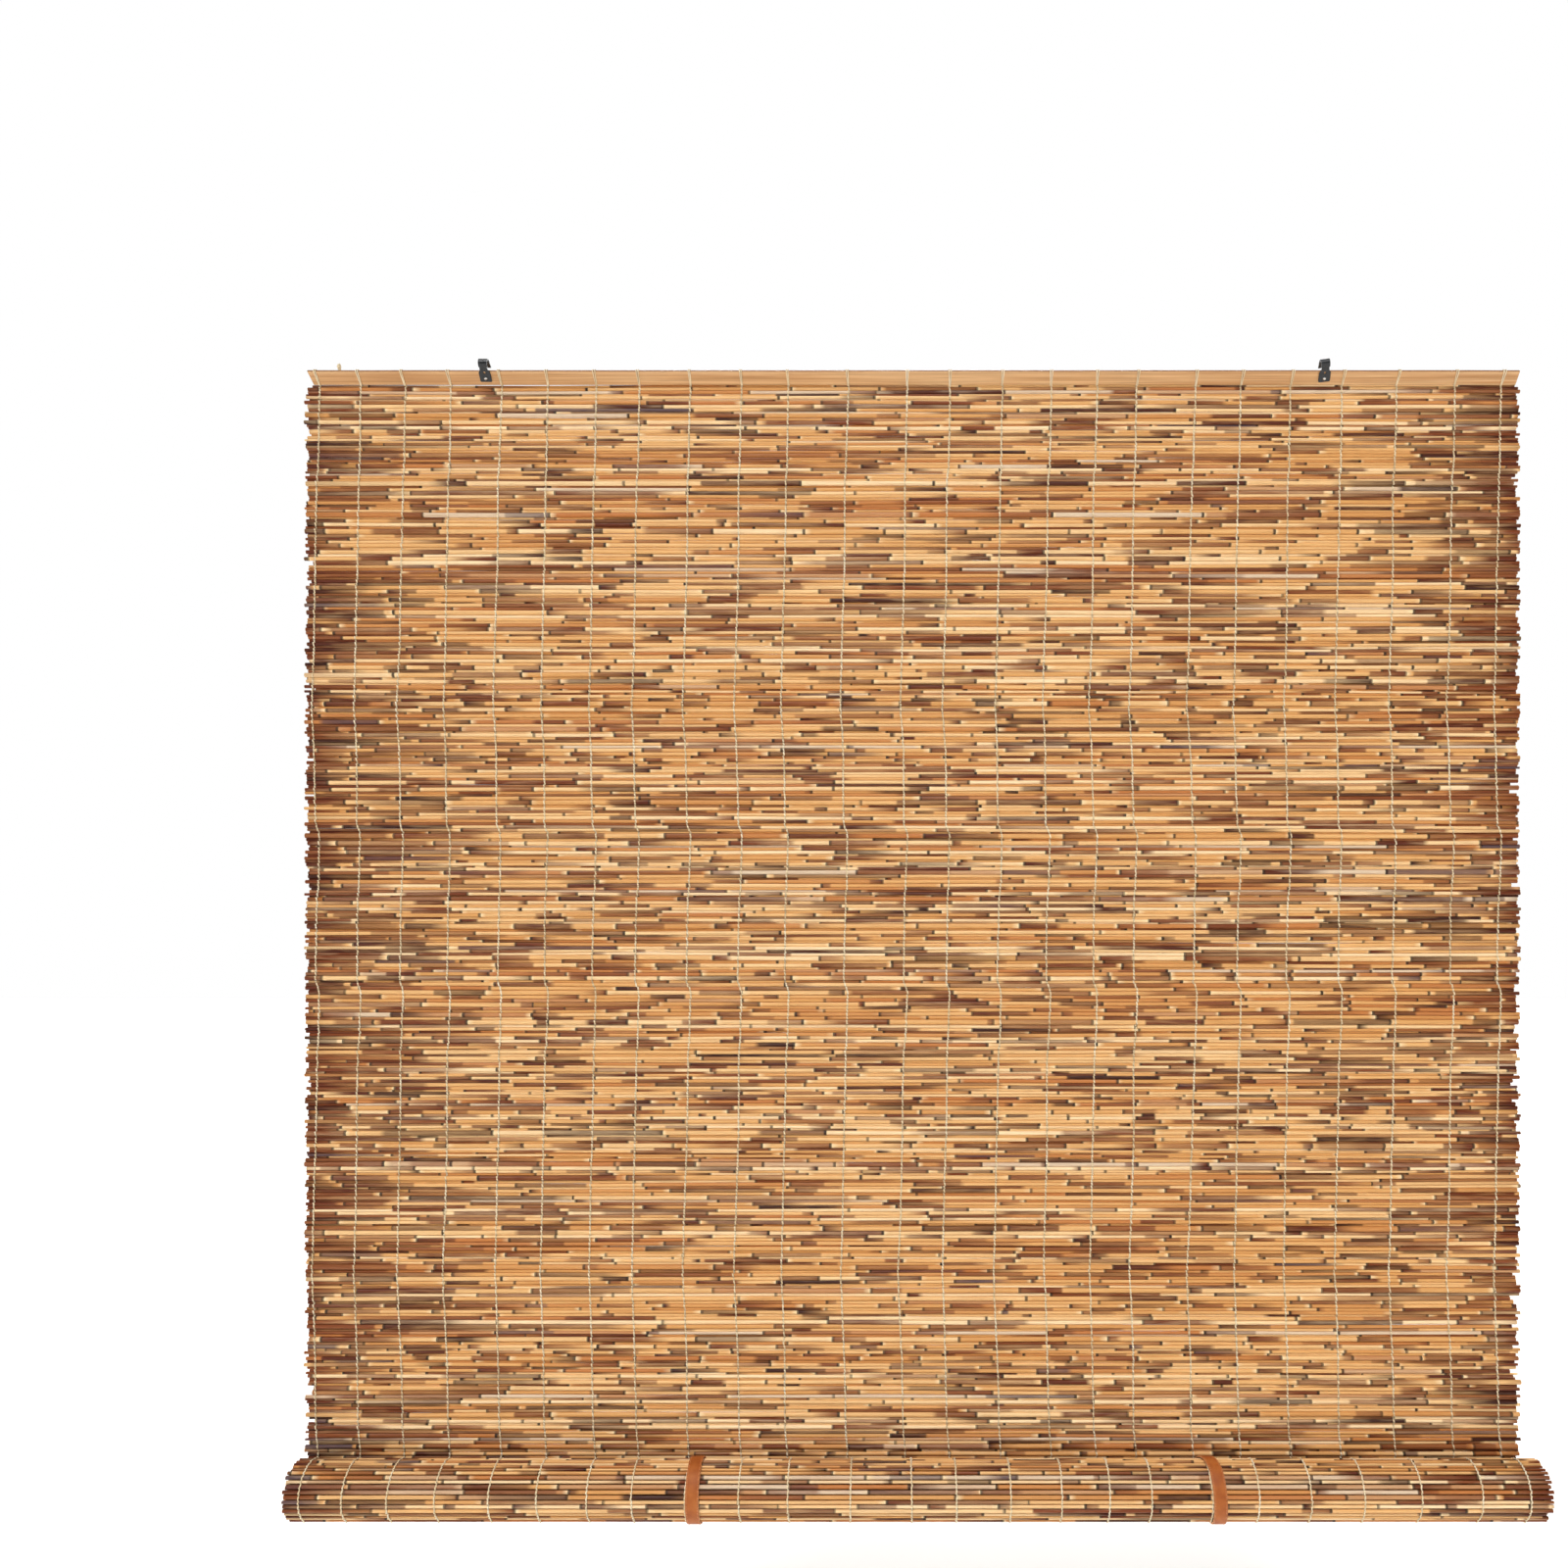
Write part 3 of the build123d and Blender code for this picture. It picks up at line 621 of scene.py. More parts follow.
# %% Wind the roll
LAYERS = 5
LAYER_PITCH = 5.8  # mm from one layer to the next
ROLL_USUAL, ROLL_THINNEST, ROLL_THICKEST = 4.8, 3.2, 5.6  # mm
STEP_START = 0.83  # share of a turn before the step
OUTER_GAP, OUTER_LIFT, INNER_GAP = 0.85, 0.8, 0.3  # mm between reeds, and out of line
INNER_SIDES, INNER_SEEN = 6, 120  # sides of a hidden reed, mm of it that shows
ONE_TURN = 2 * math.pi * ROLL_RADIUS
roll_rng = np.random.default_rng(23)


def layer_radius(turn):
    """Distance from the axis after so many turns."""
    whole = math.floor(turn)
    part = max(0.0, (turn - whole - STEP_START) / (1 - STEP_START))
    return ROLL_RADIUS - LAYER_PITCH * (whole + part * part * (3 - 2 * part))


def wound(first, last, gap, lift):
    """Turn, radius and thickness of each wound reed."""
    rows, turn = [], first
    while turn < last:
        width = float(np.clip(
            ROLL_USUAL * roll_rng.lognormal(0, 0.17), ROLL_THINNEST, ROLL_THICKEST
        ))
        step = (width + gap) / (2 * math.pi * layer_radius(turn)) / 2
        turn += step
        up = lift * roll_rng.uniform(0, 1) * (len(rows) % 2)
        rows.append((turn, layer_radius(turn) + up + (REED_WIDTH - width) * 0.2, width))
        turn += step
    return rows


def lay_roll(name, rows, sides, seen):
    """The reeds of some layers as one piece that turns with the roll."""
    table = np.array(rows)
    angle = -2 * np.pi * table[:, 0]
    play = roll_rng.normal(0, 0.1, (len(rows), 1))
    play = play * np.sin(STATIONS[None, :] / 120 + table[:, :1] * 40)
    out = table[:, 1:2] + play
    y = AXIS_Y + out * np.cos(angle)[:, None]
    z = AXIS_Z + out * np.sin(angle)[:, None]
    taper = 1 + roll_rng.uniform(-0.08, 0.08, (len(rows), 1)) * STATIONS[None, :] / HALF_MAT
    width = table[:, 2:3] * taper
    shift = AXIS_X - 0.9 + 1.0 * np.sin(2.1 * table[:, 0])
    ends = ragged_ends(roll_rng, len(rows), 4.0) * 1.0025
    made = lay_reeds(
        name, roll_rng, y, z, width, ends, sides, shift,
        heights=AXIS_Z - table[:, 0] * ONE_TURN, seen=seen,
    )
    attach(made, "roll")
    return made


mat_end = (AXIS_Z - lower_bottom) / ONE_TURN
outer_end = 1.0 - 0.5 * REED_WIDTH / ONE_TURN
outer_rows = wound(mat_end, outer_end, OUTER_GAP, OUTER_LIFT)
inner_start = outer_rows[-1][0] + 0.5 * (outer_rows[-1][2] + INNER_GAP) / ONE_TURN
inner_rows = wound(inner_start, LAYERS - 1 + STEP_START, INNER_GAP, lift=0.0)
outer_reeds = lay_roll("rolled_reeds_outer_layer", outer_rows, SIDES, HALF_MAT)
inner_reeds = lay_roll("rolled_reeds_inner_layers", inner_rows, INNER_SIDES, INNER_SEEN)
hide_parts("rolled_reeds_outer")
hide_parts("rolled_reeds_inner")

# %% [markdown]
# The strings are cotton yarn, about 2 mm wide where it lies over a reed. One
# strand goes down the front and one down the back, and they cross between the
# reeds, so what shows is a row of short slanting stitches. Cotton scatters light
# and has no gloss: a rough surface with a little sheen from its fuzz. The twist of
# the yarn is finer than a millimetre and would not show, so it is drawn at 1.2 mm.

# %% Recipe: undyed cotton yarn
def yarn_recipe(tree, place):
    """Undyed cotton: cream, matt, with the ridges of its twist and painted shade in their grooves.
    """
    ply = add_node(
        tree, "ShaderNodeTexWave",
        {"Vector": place, "Scale": 1 / (1.2 * MM) / 6.3, "Distortion": 1.5, "Detail": 1.0},
        wave_type="BANDS", bands_direction="DIAGONAL",
    )
    stain = add_node(
        tree, "ShaderNodeTexNoise", {"Vector": place, "Scale": 1 / (25 * MM), "Detail": 3.0}
    )
    tint = add_node(
        tree, "ShaderNodeValToRGB", {0: stain},
        stops=((0.3, "#D8BE92"), (0.5, "#EBD6AE"), (0.7, "#F6E9CB")),
    )
    # painted shade: the yarn turns brown in the grooves of its twist, where shade would fall
    twist_groove_shade = add_node(
        tree, "ShaderNodeMapRange", {0: ply.outputs[1], 1: 0.0, 2: 0.6, 3: 0.30, 4: 0.0}
    )
    colour = add_node(
        tree, "ShaderNodeMix", {FACTOR: twist_groove_shade, COLOUR_A: tint, COLOUR_B: hex_colour("#9C7A4C")},
        data_type="RGBA",
    )
    bump = add_node(
        tree, "ShaderNodeBump", {"Height": ply.outputs[1], "Strength": 0.5, "Distance": 0.2 * MM}
    )
    return {
        "Base Color": colour.outputs[MIXED], "Roughness": 0.9, "Normal": bump, "Sheen Weight": 0.25,
    }


YARN = make_material("undyed_cotton_yarn", yarn_recipe)

# %% [markdown]
# Each strand is a thin flattened tube that climbs over every reed. Its points come
# from the reeds themselves: their height, depth and thickness at the string's
# place, so that no strand floats above a reed or sinks into one. In front it also
# dips into each gap, which is what makes a stitch.

# %% Run a strand over the reeds
YARN_WIDE, YARN_THICK = 1.1, 0.52  # half sizes of a strand, mm
STITCH = math.radians(42)  # from the middle of a reed to where the strand leaves it
SLANT = 0.42  # mm to each side


def strand(path, sides, wide=YARN_WIDE, thick=YARN_THICK):
    """Rings of points of a flattened tube along a path, broad side to the mat."""
    path = np.asarray(path, float)
    ahead = np.gradient(path, axis=0)
    ahead /= np.linalg.norm(ahead, axis=1, keepdims=True)
    across = np.tile([1.0, 0.0, 0.0], (len(path), 1))
    across -= (across * ahead).sum(1, keepdims=True) * ahead
    across /= np.linalg.norm(across, axis=1, keepdims=True)
    out = np.cross(across, ahead)
    angle = 2 * np.pi * np.arange(sides) / sides
    return (
        path[:, None]
        + wide * np.cos(angle)[None, :, None] * across[:, None]
        + thick * np.sin(angle)[None, :, None] * out[:, None]
    )


def strands_piece(name, strands, material, wide=YARN_WIDE, thick=YARN_THICK):
    """One piece of many strands, each given as its path and its number of sides."""
    tubes = [
        (strand(path, sides, wide, thick), 0.006 + 0.985 * np.arange(len(path)) / (len(path) - 1))
        for path, sides in strands
    ]
    return tubes_piece(name, tubes, material)


JOGS = (
    (-1437, 0.0), (-1405, -2.8), (-1310, -4.0), (-1240, -6.8), (-1198, -9.0), (-1115, -6.3),
    (-1020, -3.9), (-905, -2.6), (-890, -1.0), (-825, 1.2), (-812, -3.8), (-700, -2.4),
    (-690, -1.0), (-616, 1.0), (-604, -3.9), (-510, -5.2), (-475, -7.0), (-450, -9.0),
    (-365, -6.2), (-250, -3.6), (-145, -2.6), (-130, -1.0), (-75, 0.0), (-30, 1.3),
)  # (height, shift) that all strings share, because the mat slipped on the loom


def wander(rng, heights):
    """Sideways drift of a string down the mat: the shared jogs, and its own few millimetres."""
    slow = rng.normal(0, 1.0) * np.sin(heights / rng.uniform(150, 320) + rng.uniform(0, 6))
    mid = 0.5 * np.sin(heights / rng.uniform(30, 60) + rng.uniform(0, 6))
    return np.interp(heights, *zip(*JOGS)) + slow + mid + rng.normal(0, 0.25, len(heights))


def over_reeds(x, side, y, z, width, drift):
    """A strand's path: two points on each reed, and in front one down in each gap."""
    path = []
    reach = width / 2 + YARN_THICK
    for row in range(len(z)):
        at_x = x + drift[row]
        for turn, slant in ((STITCH, -SLANT), (-STITCH, SLANT)):
            out = side * reach[row] * math.cos(turn) * 1.06
            path.append((at_x + slant, y[row] + out, z[row] + reach[row] * math.sin(turn)))
        if side < 0 and row + 1 < len(z):
            gap_z = (z[row] - width[row] / 2 + z[row + 1] + width[row + 1] / 2) / 2
            path.append((at_x, MAT_Y + side * 0.5, gap_z))
    return path


def at_string(table, x):
    """A table's values where a string crosses the reeds."""
    return np.array([np.interp(x, STATIONS, row) for row in table])


print("a strand is", 2 * YARN_WIDE, "mm wide")

# %% [markdown]
# The front strands stop where the roll begins, because from there on the mat's
# front lies inside the roll. The back strands go on to the roll, where they turn
# to its outside.

# %% Bind the hanging mat
yarn_rng = np.random.default_rng(31)
SLAT_TILT = math.radians(46)
SLAT_WIDTH, SLAT_THICK = 18.4, 3.6
FACE_UP = np.array([0.0, -math.sin(SLAT_TILT), math.cos(SLAT_TILT)])
FACE_OUT = np.array([0.0, -math.cos(SLAT_TILT), -math.sin(SLAT_TILT)])


def slat_point(x, up, out):
    """A point in the slat's own frame: along it, up its face, out of its face."""
    middle = np.array([x, SLAT_MIDDLE[1], SLAT_MIDDLE[2]])
    return middle + FACE_UP * (up - SLAT_WIDTH / 2) + FACE_OUT * out


for number, group in enumerate(np.array_split(np.arange(len(STRING_X)), 3), start=1):
    strands = []
    for index in group:
        x = STRING_X[index]
        y, z, width = (at_string(t, x) for t in (rest_y, rest_z, rest_width))
        drift = wander(yarn_rng, z)
        shown = len(upper_z)
        for side, rows in ((-1, shown), (1, len(z))):
            start = slat_point(x, -0.4, -side * 1.6)
            path = [start] + over_reeds(x, side, y[:rows], z[:rows], width[:rows], drift[:rows])
            strands.append((path, 4))
    piece = strands_piece(f"hanging_strings_{number}", strands, YARN)
    hang(piece)
    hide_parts(*[f"string_{index + 1:02d}" for index in group])

# %% [markdown]
# Round the roll the same strings show on its outside. A string is held by every
# reed, so it shifts with the roll, which was wound a few millimetres to the right.

# %% Bind the roll
strands = []
coil = np.array(outer_rows)
for x in STRING_X:
    drift = 0.8 * np.sin(coil[:, 0] * 6 + yarn_rng.uniform(0, 6))
    drift = drift + yarn_rng.normal(0, 0.2, len(coil))
    path = []
    for row, (turn, radius, width) in enumerate(coil):
        angle = -2 * math.pi * turn
        half = (width + OUTER_GAP) / 2 / radius
        over = radius + (width / 2 + YARN_THICK) * 0.92
        for turned, reach, slant in (
            (angle + 0.55 * half, over, -SLANT), (angle - 0.55 * half, over, SLANT),
            (angle - half, radius + 1.3, 0.0),
        ):
            y, z = AXIS_Y + reach * math.cos(turned), AXIS_Z + reach * math.sin(turned)
            path.append((x + AXIS_X + drift[row] + slant, y, z))
    strands.append((path, 5))
roll_strings = strands_piece("rolled_strings_outside", strands, YARN)
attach(roll_strings, "roll")
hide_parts("rolled_strings")

# %% [markdown]
# At the top each string is lashed round the slat: two turns of yarn, apart at the
# slat's upper edge and together at its lower edge. They ride on the header and
# never flatten, because the slat is stiff.

# %% Lash the mat to the slat
def lashing_path(x, top_shift, low_shift):
    """One closed turn of yarn round the slat."""
    half = SLAT_THICK / 2 + YARN_THICK + 0.1
    corners = (
        (-0.7, 1.0), (0.6, half), (6.0, half + 0.05), (12.0, half + 0.05), (17.6, half),
        (SLAT_WIDTH + 0.6, 1.0), (SLAT_WIDTH + 0.6, -1.0), (17.6, -half), (9.0, -half - 0.05),
        (0.6, -half), (-0.7, -1.0), (-0.7, 1.0),
    )
    return [
        slat_point(x + np.interp(up, (0, SLAT_WIDTH), (low_shift, top_shift)), up, out)
        for up, out in corners
    ]


def finer(path, parts):
    """The same path with more points, on a smooth curve through them."""
    path = np.asarray(path)
    padded = np.vstack([path[:1], path, path[-1:]])
    steps = []
    for i in range(len(path) - 1):
        a, b, c, d = padded[i : i + 4]
        for t in np.arange(parts) / parts:
            steps.append(0.5 * (2 * b + (c - a) * t + (2 * a - 5 * b + 4 * c - d) * t**2
                                + (3 * b - a - 3 * c + d) * t**3))
    return np.vstack([steps, path[-1:]])


strands = []
for x in STRING_X:
    apart = yarn_rng.uniform(1.0, 1.5)
    lean = yarn_rng.uniform(-0.9, 0.5)
    for side in (-1, 1):
        path = finer(lashing_path(x + 1.3, lean + side * apart, side * 0.6), 3)
        strands.append((path, 6))
lashings = strands_piece("slat_lashings", strands, YARN, wide=0.75, thick=0.5)
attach(lashings, "header")

# %% [markdown]
# The header is split bamboo: a flat slat of the stalk's wall. Its fibres are long,
# dark dots and lines about 0.5 mm wide, and the planed face is satin where the
# outer skin was left on. Every third of a metre or so a joint crosses it.

# %% Recipe: split bamboo
BAMBOO_FIBRE = (1 / (130 * MM), 1 / (0.7 * MM), 1 / (0.7 * MM))
BAMBOO_BAND = (1 / (260 * MM), 1 / (5 * MM), 1 / (5 * MM))


def bamboo_recipe(tree, place):
    """Split bamboo, planed and oiled: tan, with straight fibres and faint joints."""
    spread = [
        add_node(
            tree, "ShaderNodeVectorMath", {0: place, 1: scale}, operation="MULTIPLY"
        ).outputs[0]
        for scale in (BAMBOO_FIBRE, BAMBOO_BAND)
    ]
    fibre, band = (
        add_node(tree, "ShaderNodeTexNoise", {"Vector": v, "Scale": 1.0, "Detail": 4.0}).outputs[0]
        for v in spread
    )
    tone = add_node(
        tree, "ShaderNodeValToRGB", {0: band},
        stops=((0.30, "#BF8A54"), (0.48, "#D2A06A"), (0.62, "#DDB07C"), (0.75, "#CB9259")),
    )
    line = add_node(tree, "ShaderNodeMapRange", {0: fibre, 1: 0.50, 2: 0.72, 3: 0.0, 4: 0.55})
    lined = add_node(
        tree, "ShaderNodeMix", {FACTOR: line, COLOUR_A: tone, COLOUR_B: hex_colour("#8A5A2E")},
        data_type="RGBA",
    )
    rim = add_node(tree, "ShaderNodeAttribute", attribute_name="rim").outputs["Fac"]
    edged = add_node(
        tree, "ShaderNodeMix",
        {FACTOR: rim, COLOUR_A: lined.outputs[MIXED], COLOUR_B: hex_colour("#7B4A26")},
        data_type="RGBA",
    )
    gloss = add_node(tree, "ShaderNodeMapRange", {0: fibre, 1: 0.3, 2: 0.7, 3: 0.42, 4: 0.6})
    bump = add_node(
        tree, "ShaderNodeBump", {"Height": fibre, "Strength": 0.4, "Distance": 0.2 * MM}
    )
    return {"Base Color": edged.outputs[MIXED], "Roughness": gloss, "Normal": bump, "IOR": 1.5}


BAMBOO = make_material("split_bamboo", bamboo_recipe)

# %% [markdown]
# The slat is drawn out along its length, with a section every 8 mm: flat faces, soft
# corners, edges that waver a little where the knife followed the fibres, and a low
# ridge at each joint. The rim attribute marks the narrow edges, which are darker.

# %% Split the header slat
SLAT_JOINTS = (-655.0, -330.0, -20.0, 315.0, 640.0)


def slat_sections(left, right):
    """Points of the slat's sections, and how much each lies on an edge."""
    xs = [[left, left + 0.6], np.arange(left + 4, right - 3, 8.0), [right - 0.6, right]]
    xs = np.concatenate(xs)
    front = (
        (0.0, 1.1), (0.5, 1.65), (1.2, 1.8), (6.0, 1.8), (12.0, 1.8), (17.2, 1.8),
        (17.9, 1.65), (18.4, 1.1),
    )
    outline = [*front, *[(up, -out) for up, out in reversed(front)]]
    top = 0.22 * np.sin(xs / 61 + 1.0) + 0.12 * np.sin(xs / 17)
    points, rim = [], []
    for i, x in enumerate(xs):
        at_end = i in (0, len(xs) - 1)
        ridge = sum(0.16 * math.exp(-(((x - j) / 3.0) ** 2)) for j in SLAT_JOINTS)
        for up, out in outline:
            height = SLAT_WIDTH / 2 + (up - SLAT_WIDTH / 2) * (0.988 if at_end else 1.0)
            height = height - abs(top[i]) * (up > 9) * 0.5
            depth = out * (0.85 if at_end else 1.0) + math.copysign(ridge, out) * (abs(out) > 1.5)
            slant = 3.0 * (1 - up / SLAT_WIDTH) if x < left + 1 else 0.0
            points.append(slat_point(x + slant, height, depth))
            rim.append(1.0 if up < 0.4 or up > 18.0 else 0.25 if up > 17.5 else 0.0)
    return len(xs), len(outline), points, rim


ring_count, side_count, points, rim = slat_sections(slat_low[0] + 3, slat_high[0])
slat = mesh_object("header_slat_split", points, tube_faces(ring_count, side_count, 0), BAMBOO)
add_values(slat, "rim", rim)
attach(slat, "header")
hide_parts("header_slat")
print("slat sections", ring_count)

# %% [markdown]
# A stub of yarn stands up behind the slat near its left end, where the maker tied
# off the last string and cut it.

# %% Leave the tied end
TIED_X = -757.0  # mm from the slat's middle
strands = []
for twist in (0.0, math.pi):
    path = []
    for t in np.linspace(0, 1, 9):
        round_by = twist + t * 5.0
        x = TIED_X + 2.0 * t + 1.3 * math.cos(round_by)
        path.append(slat_point(x, 14.0 + 10.5 * t, -3.6 - 1.3 * math.sin(round_by) - 1.5 * t))
    strands.append((path, 8))
tied_end = strands_piece("tied_string_end", strands, YARN, wide=1.5, thick=1.3)
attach(tied_end, "header")

# %% [markdown]
# The straps are vegetable tanned leather, saddle brown, about 1.6 mm thick. Its
# grain is a net of fine wrinkles with cells of about 0.9 mm, its cut edges are
# paler, and a row of stitches runs along each side.

# %% Recipe: saddle leather and waxed thread
def leather_recipe(tree, place):
    """Vegetable tanned leather: wrinkled grain with painted shade in its wrinkles, waxed, paler at
    its cut edges.
    """
    cell = add_node(
        tree, "ShaderNodeTexVoronoi", {"Vector": place, "Scale": 1 / (0.9 * MM)},
        feature="DISTANCE_TO_EDGE",
    )
    cloud = add_node(
        tree, "ShaderNodeTexNoise", {"Vector": place, "Scale": 1 / (14 * MM), "Detail": 4.0}
    )
    tone = add_node(
        tree, "ShaderNodeValToRGB", {0: cloud},
        stops=((0.30, "#A0531F"), (0.50, "#B06128"), (0.70, "#BC6E32")),
    )
    # painted shade: the wrinkles of the grain are coloured dark brown, as the shade in them
    wrinkle_shade = add_node(tree, "ShaderNodeMapRange", {0: cell, 1: 0.0, 2: 0.18, 3: 0.35, 4: 0.0})
    wrinkle_shaded = add_node(
        tree, "ShaderNodeMix", {FACTOR: wrinkle_shade, COLOUR_A: tone, COLOUR_B: hex_colour("#6E3110")},
        data_type="RGBA",
    )
    cut = add_node(tree, "ShaderNodeAttribute", attribute_name="cut").outputs["Fac"]
    colour = add_node(
        tree, "ShaderNodeMix",
        {FACTOR: cut, COLOUR_A: wrinkle_shaded.outputs[MIXED], COLOUR_B: hex_colour("#DDA070")},
        data_type="RGBA",
    )
    bump = add_node(
        tree, "ShaderNodeBump", {"Height": cell, "Strength": 0.3, "Distance": 0.15 * MM}
    )
    return {
        "Base Color": colour.outputs[MIXED], "Roughness": 0.58, "Normal": bump,
        "IOR": 1.48, "Specular IOR Level": 0.3,
    }


def thread_recipe(tree, place):
    """Waxed linen thread, dyed tan, with painted shade in the grooves of its twist and painted
    highlight on its ridges.
    """
    twist = add_node(
        tree, "ShaderNodeTexWave",
        {"Vector": place, "Scale": 1 / (0.8 * MM) / 6.3, "Distortion": 1.0},
        bands_direction="DIAGONAL",
    )
    # painted shade and highlight: darker in the grooves of the twist, lighter on its ridges
    tone = add_node(
        tree, "ShaderNodeValToRGB", {0: twist.outputs[1]},
        stops=((0.2, "#A9622F"), (0.8, "#D9935A")),
    )
    bump = add_node(
        tree, "ShaderNodeBump", {"Height": twist.outputs[1], "Strength": 0.4, "Distance": 0.1 * MM}
    )
    return {"Base Color": tone, "Roughness": 0.5, "Normal": bump}


LEATHER = make_material("saddle_leather", leather_recipe)
THREAD = make_material("waxed_linen_thread", thread_recipe)

# %% [markdown]
# A strap starts behind the mat, comes forward between two reeds, goes over the
# roll, down its front, round underneath and up behind again, where a press stud
# joins its ends. The line is laid with sharp corners and then rounded, as leather
# bends. On its way round it leans a few millimetres, as it was buckled by hand.

# %% Find the strap's way round
STRAP_THICK = 1.6
STRAP_REACH = ROLL_RADIUS + REED_WIDTH / 2 + 1.3 + 0.3 + STRAP_THICK / 2
LAP_REACH = STRAP_REACH + STRAP_THICK + 0.3
LEAVES = math.radians(55)  # below the axis at the back, where the strap leaves the roll
STRAP_ENDS = (-10.0, 14.0)  # mm above the roll's axis, behind the mat


def run_along(line):
    """Distance along a line at each of its points."""
    return np.concatenate([[0], np.cumsum(np.linalg.norm(np.diff(line, axis=0), axis=1))])


def strap_line():
    """(y, z) from the roll's axis along the middle of the strap, every 2 mm or so."""
    wedge = math.asin(STRAP_RISE / STRAP_REACH)
    corner_run = (LAP_REACH - STRAP_REACH * math.cos(LEAVES)) / math.sin(LEAVES)
    leave_z = -STRAP_REACH * math.sin(LEAVES)
    round_roll = [
        (STRAP_REACH * math.cos(a), STRAP_REACH * math.sin(a))
        for a in np.linspace(wedge, 2 * math.pi - LEAVES, 96)
    ]
    corners = np.array([
        (STRAP_REACH, STRAP_ENDS[0]), (STRAP_REACH, STRAP_RISE), *round_roll,
        (LAP_REACH, leave_z + corner_run * math.cos(LEAVES)), (LAP_REACH, STRAP_ENDS[1]),
    ])
    run = run_along(corners)
    steps = np.arange(0, run[-1], 0.5)
    line = np.stack([np.interp(steps, run, corners[:, k]) for k in (0, 1)], axis=1)
    padded = np.vstack([[line[0]] * 3, line, [line[-1]] * 3])
    smooth = np.stack([np.convolve(padded[:, k], np.ones(7) / 7, "valid") for k in (0, 1)], axis=1)
    smooth[0], smooth[-1] = line[0], line[-1]
    return np.vstack([smooth[:-1:4], smooth[-1:]])


STRAP_LINE = strap_line()
STRAP_RUN = run_along(STRAP_LINE)
STRAP_LEAN = {
    "left": (
        (0, 0), (40, -2.6), (75, -2.6), (115, -1.8), (160, -1.6), (205, -2.6), (260, 0), (400, 0),
    ),
    "right": (
        (0, 0), (40, -6.5), (65, -4.0), (100, 1.5), (140, 3.0), (205, 6.0), (260, 0), (400, 0),
    ),
}  # (distance along the strap, sideways shift)
print("strap length", round(float(STRAP_RUN[-1])), "mm")

# %% [markdown]
# The strap's section has rounded corners and a shallow groove for each row of
# stitches. The stitches are short slanting lengths of thread, half sunk into the
# grooves, every 3.4 mm.

# %% Cut the straps and stitch them
GROOVE = 6.9
STITCH_PITCH = 3.4
SECTION = (
    (-8.7, 0.0), (-8.55, 0.55), (-8.1, 0.78), (-7.3, 0.66), (-6.9, 0.6), (-6.5, 0.66),
    (-5.8, 0.8), (0.0, 0.8), (5.8, 0.8), (6.5, 0.66), (6.9, 0.6), (7.3, 0.66), (8.1, 0.78),
    (8.55, 0.55), (8.7, 0.0), (8.55, -0.55), (8.1, -0.78), (0.0, -0.8), (-8.1, -0.78),
    (-8.55, -0.55),
)
STITCH_SHAPE = (
    (-1.35, -0.25, 0.45), (-0.9, -0.17, 0.75), (0.0, 0.0, 0.88), (0.9, 0.17, 0.75),
    (1.35, 0.25, 0.45),
)  # along the strap, across it and out of it


def strap_frame(side, run):
    """Middle of a strap at a distance along it, and the direction out of its grain side."""
    here, there = (
        np.array([np.interp(r, STRAP_RUN, STRAP_LINE[:, k]) for k in (0, 1)])
        for r in (run - 0.5, run + 0.5)
    )
    middle = (here + there) / 2
    ahead = (there - here) / np.linalg.norm(there - here)
    lean = np.interp(run, *zip(*STRAP_LEAN[side]))
    out = np.array([ahead[1], -ahead[0]])
    return STRAP_X[side] + lean, AXIS_Y + middle[0], AXIS_Z + middle[1], out


def on_strap(side, run, across, out_by):
    """A point on a strap: across it and out of its grain side."""
    x, y, z, out = strap_frame(side, run)
    return (x + across, y + out[0] * out_by, z + out[1] * out_by)


stitching = []
for side in ("left", "right"):
    runs = np.concatenate([[0.6], STRAP_RUN[1:-1], [STRAP_RUN[-1] - 0.6]])
    points = [on_strap(side, run, across, out) for run in runs for across, out in SECTION]
    faces = tube_faces(len(runs), len(SECTION), 0)
    strap = mesh_object(f"strap_{side}_leather", points, faces, LEATHER)
    cut = np.array([[1.0 if abs(a) > 8.3 else 0.0 for a, _ in SECTION]] * len(runs))
    cut[[0, -1]] = 1.0
    add_values(strap, "cut", cut)
    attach(strap, "straps")
    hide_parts(f"strap_{side}")
    for groove in (-GROOVE, GROOVE):
        for run in np.arange(4.0, STRAP_RUN[-1] - 4.0, STITCH_PITCH):
            path = [
                on_strap(side, run + along, groove + lean, height)
                for along, lean, height in STITCH_SHAPE
            ]
            stitching.append((path, 5))
stitches = strands_piece("strap_stitches", stitching, THREAD, wide=0.4, thick=0.3)
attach(stitches, "straps")

# %% [markdown]
# The hangers are mild steel strip, blanked, bent and coated with black enamel. The
# coat is semi-gloss and thin, and it is rubbed to a greyer tone in patches about
# 2 mm across. The rivets are nickel plated steel with a turned dome, and the press
# studs are drawn brass, which tarnishes to a warm grey in its hollows.

# %% Recipes: black enamel, nickel, brass
def enamel_recipe(tree, place):
    """Black stoving enamel on steel: smooth, semi-gloss, slightly rubbed."""
    rub = add_node(
        tree, "ShaderNodeTexNoise", {"Vector": place, "Scale": 1 / (2 * MM), "Detail": 5.0}
    )
    tone = add_node(
        tree, "ShaderNodeValToRGB", {0: rub},
        stops=((0.35, "#101112"), (0.60, "#1C1D1F"), (0.78, "#3A3B3D")),
    )
    gloss = add_node(tree, "ShaderNodeMapRange", {0: rub, 1: 0.3, 2: 0.7, 3: 0.28, 4: 0.45})
    bump = add_node(tree, "ShaderNodeBump", {"Height": rub, "Strength": 0.12, "Distance": 0.1 * MM})
    return {"Base Color": tone, "Roughness": gloss, "Normal": bump, "IOR": 1.5}


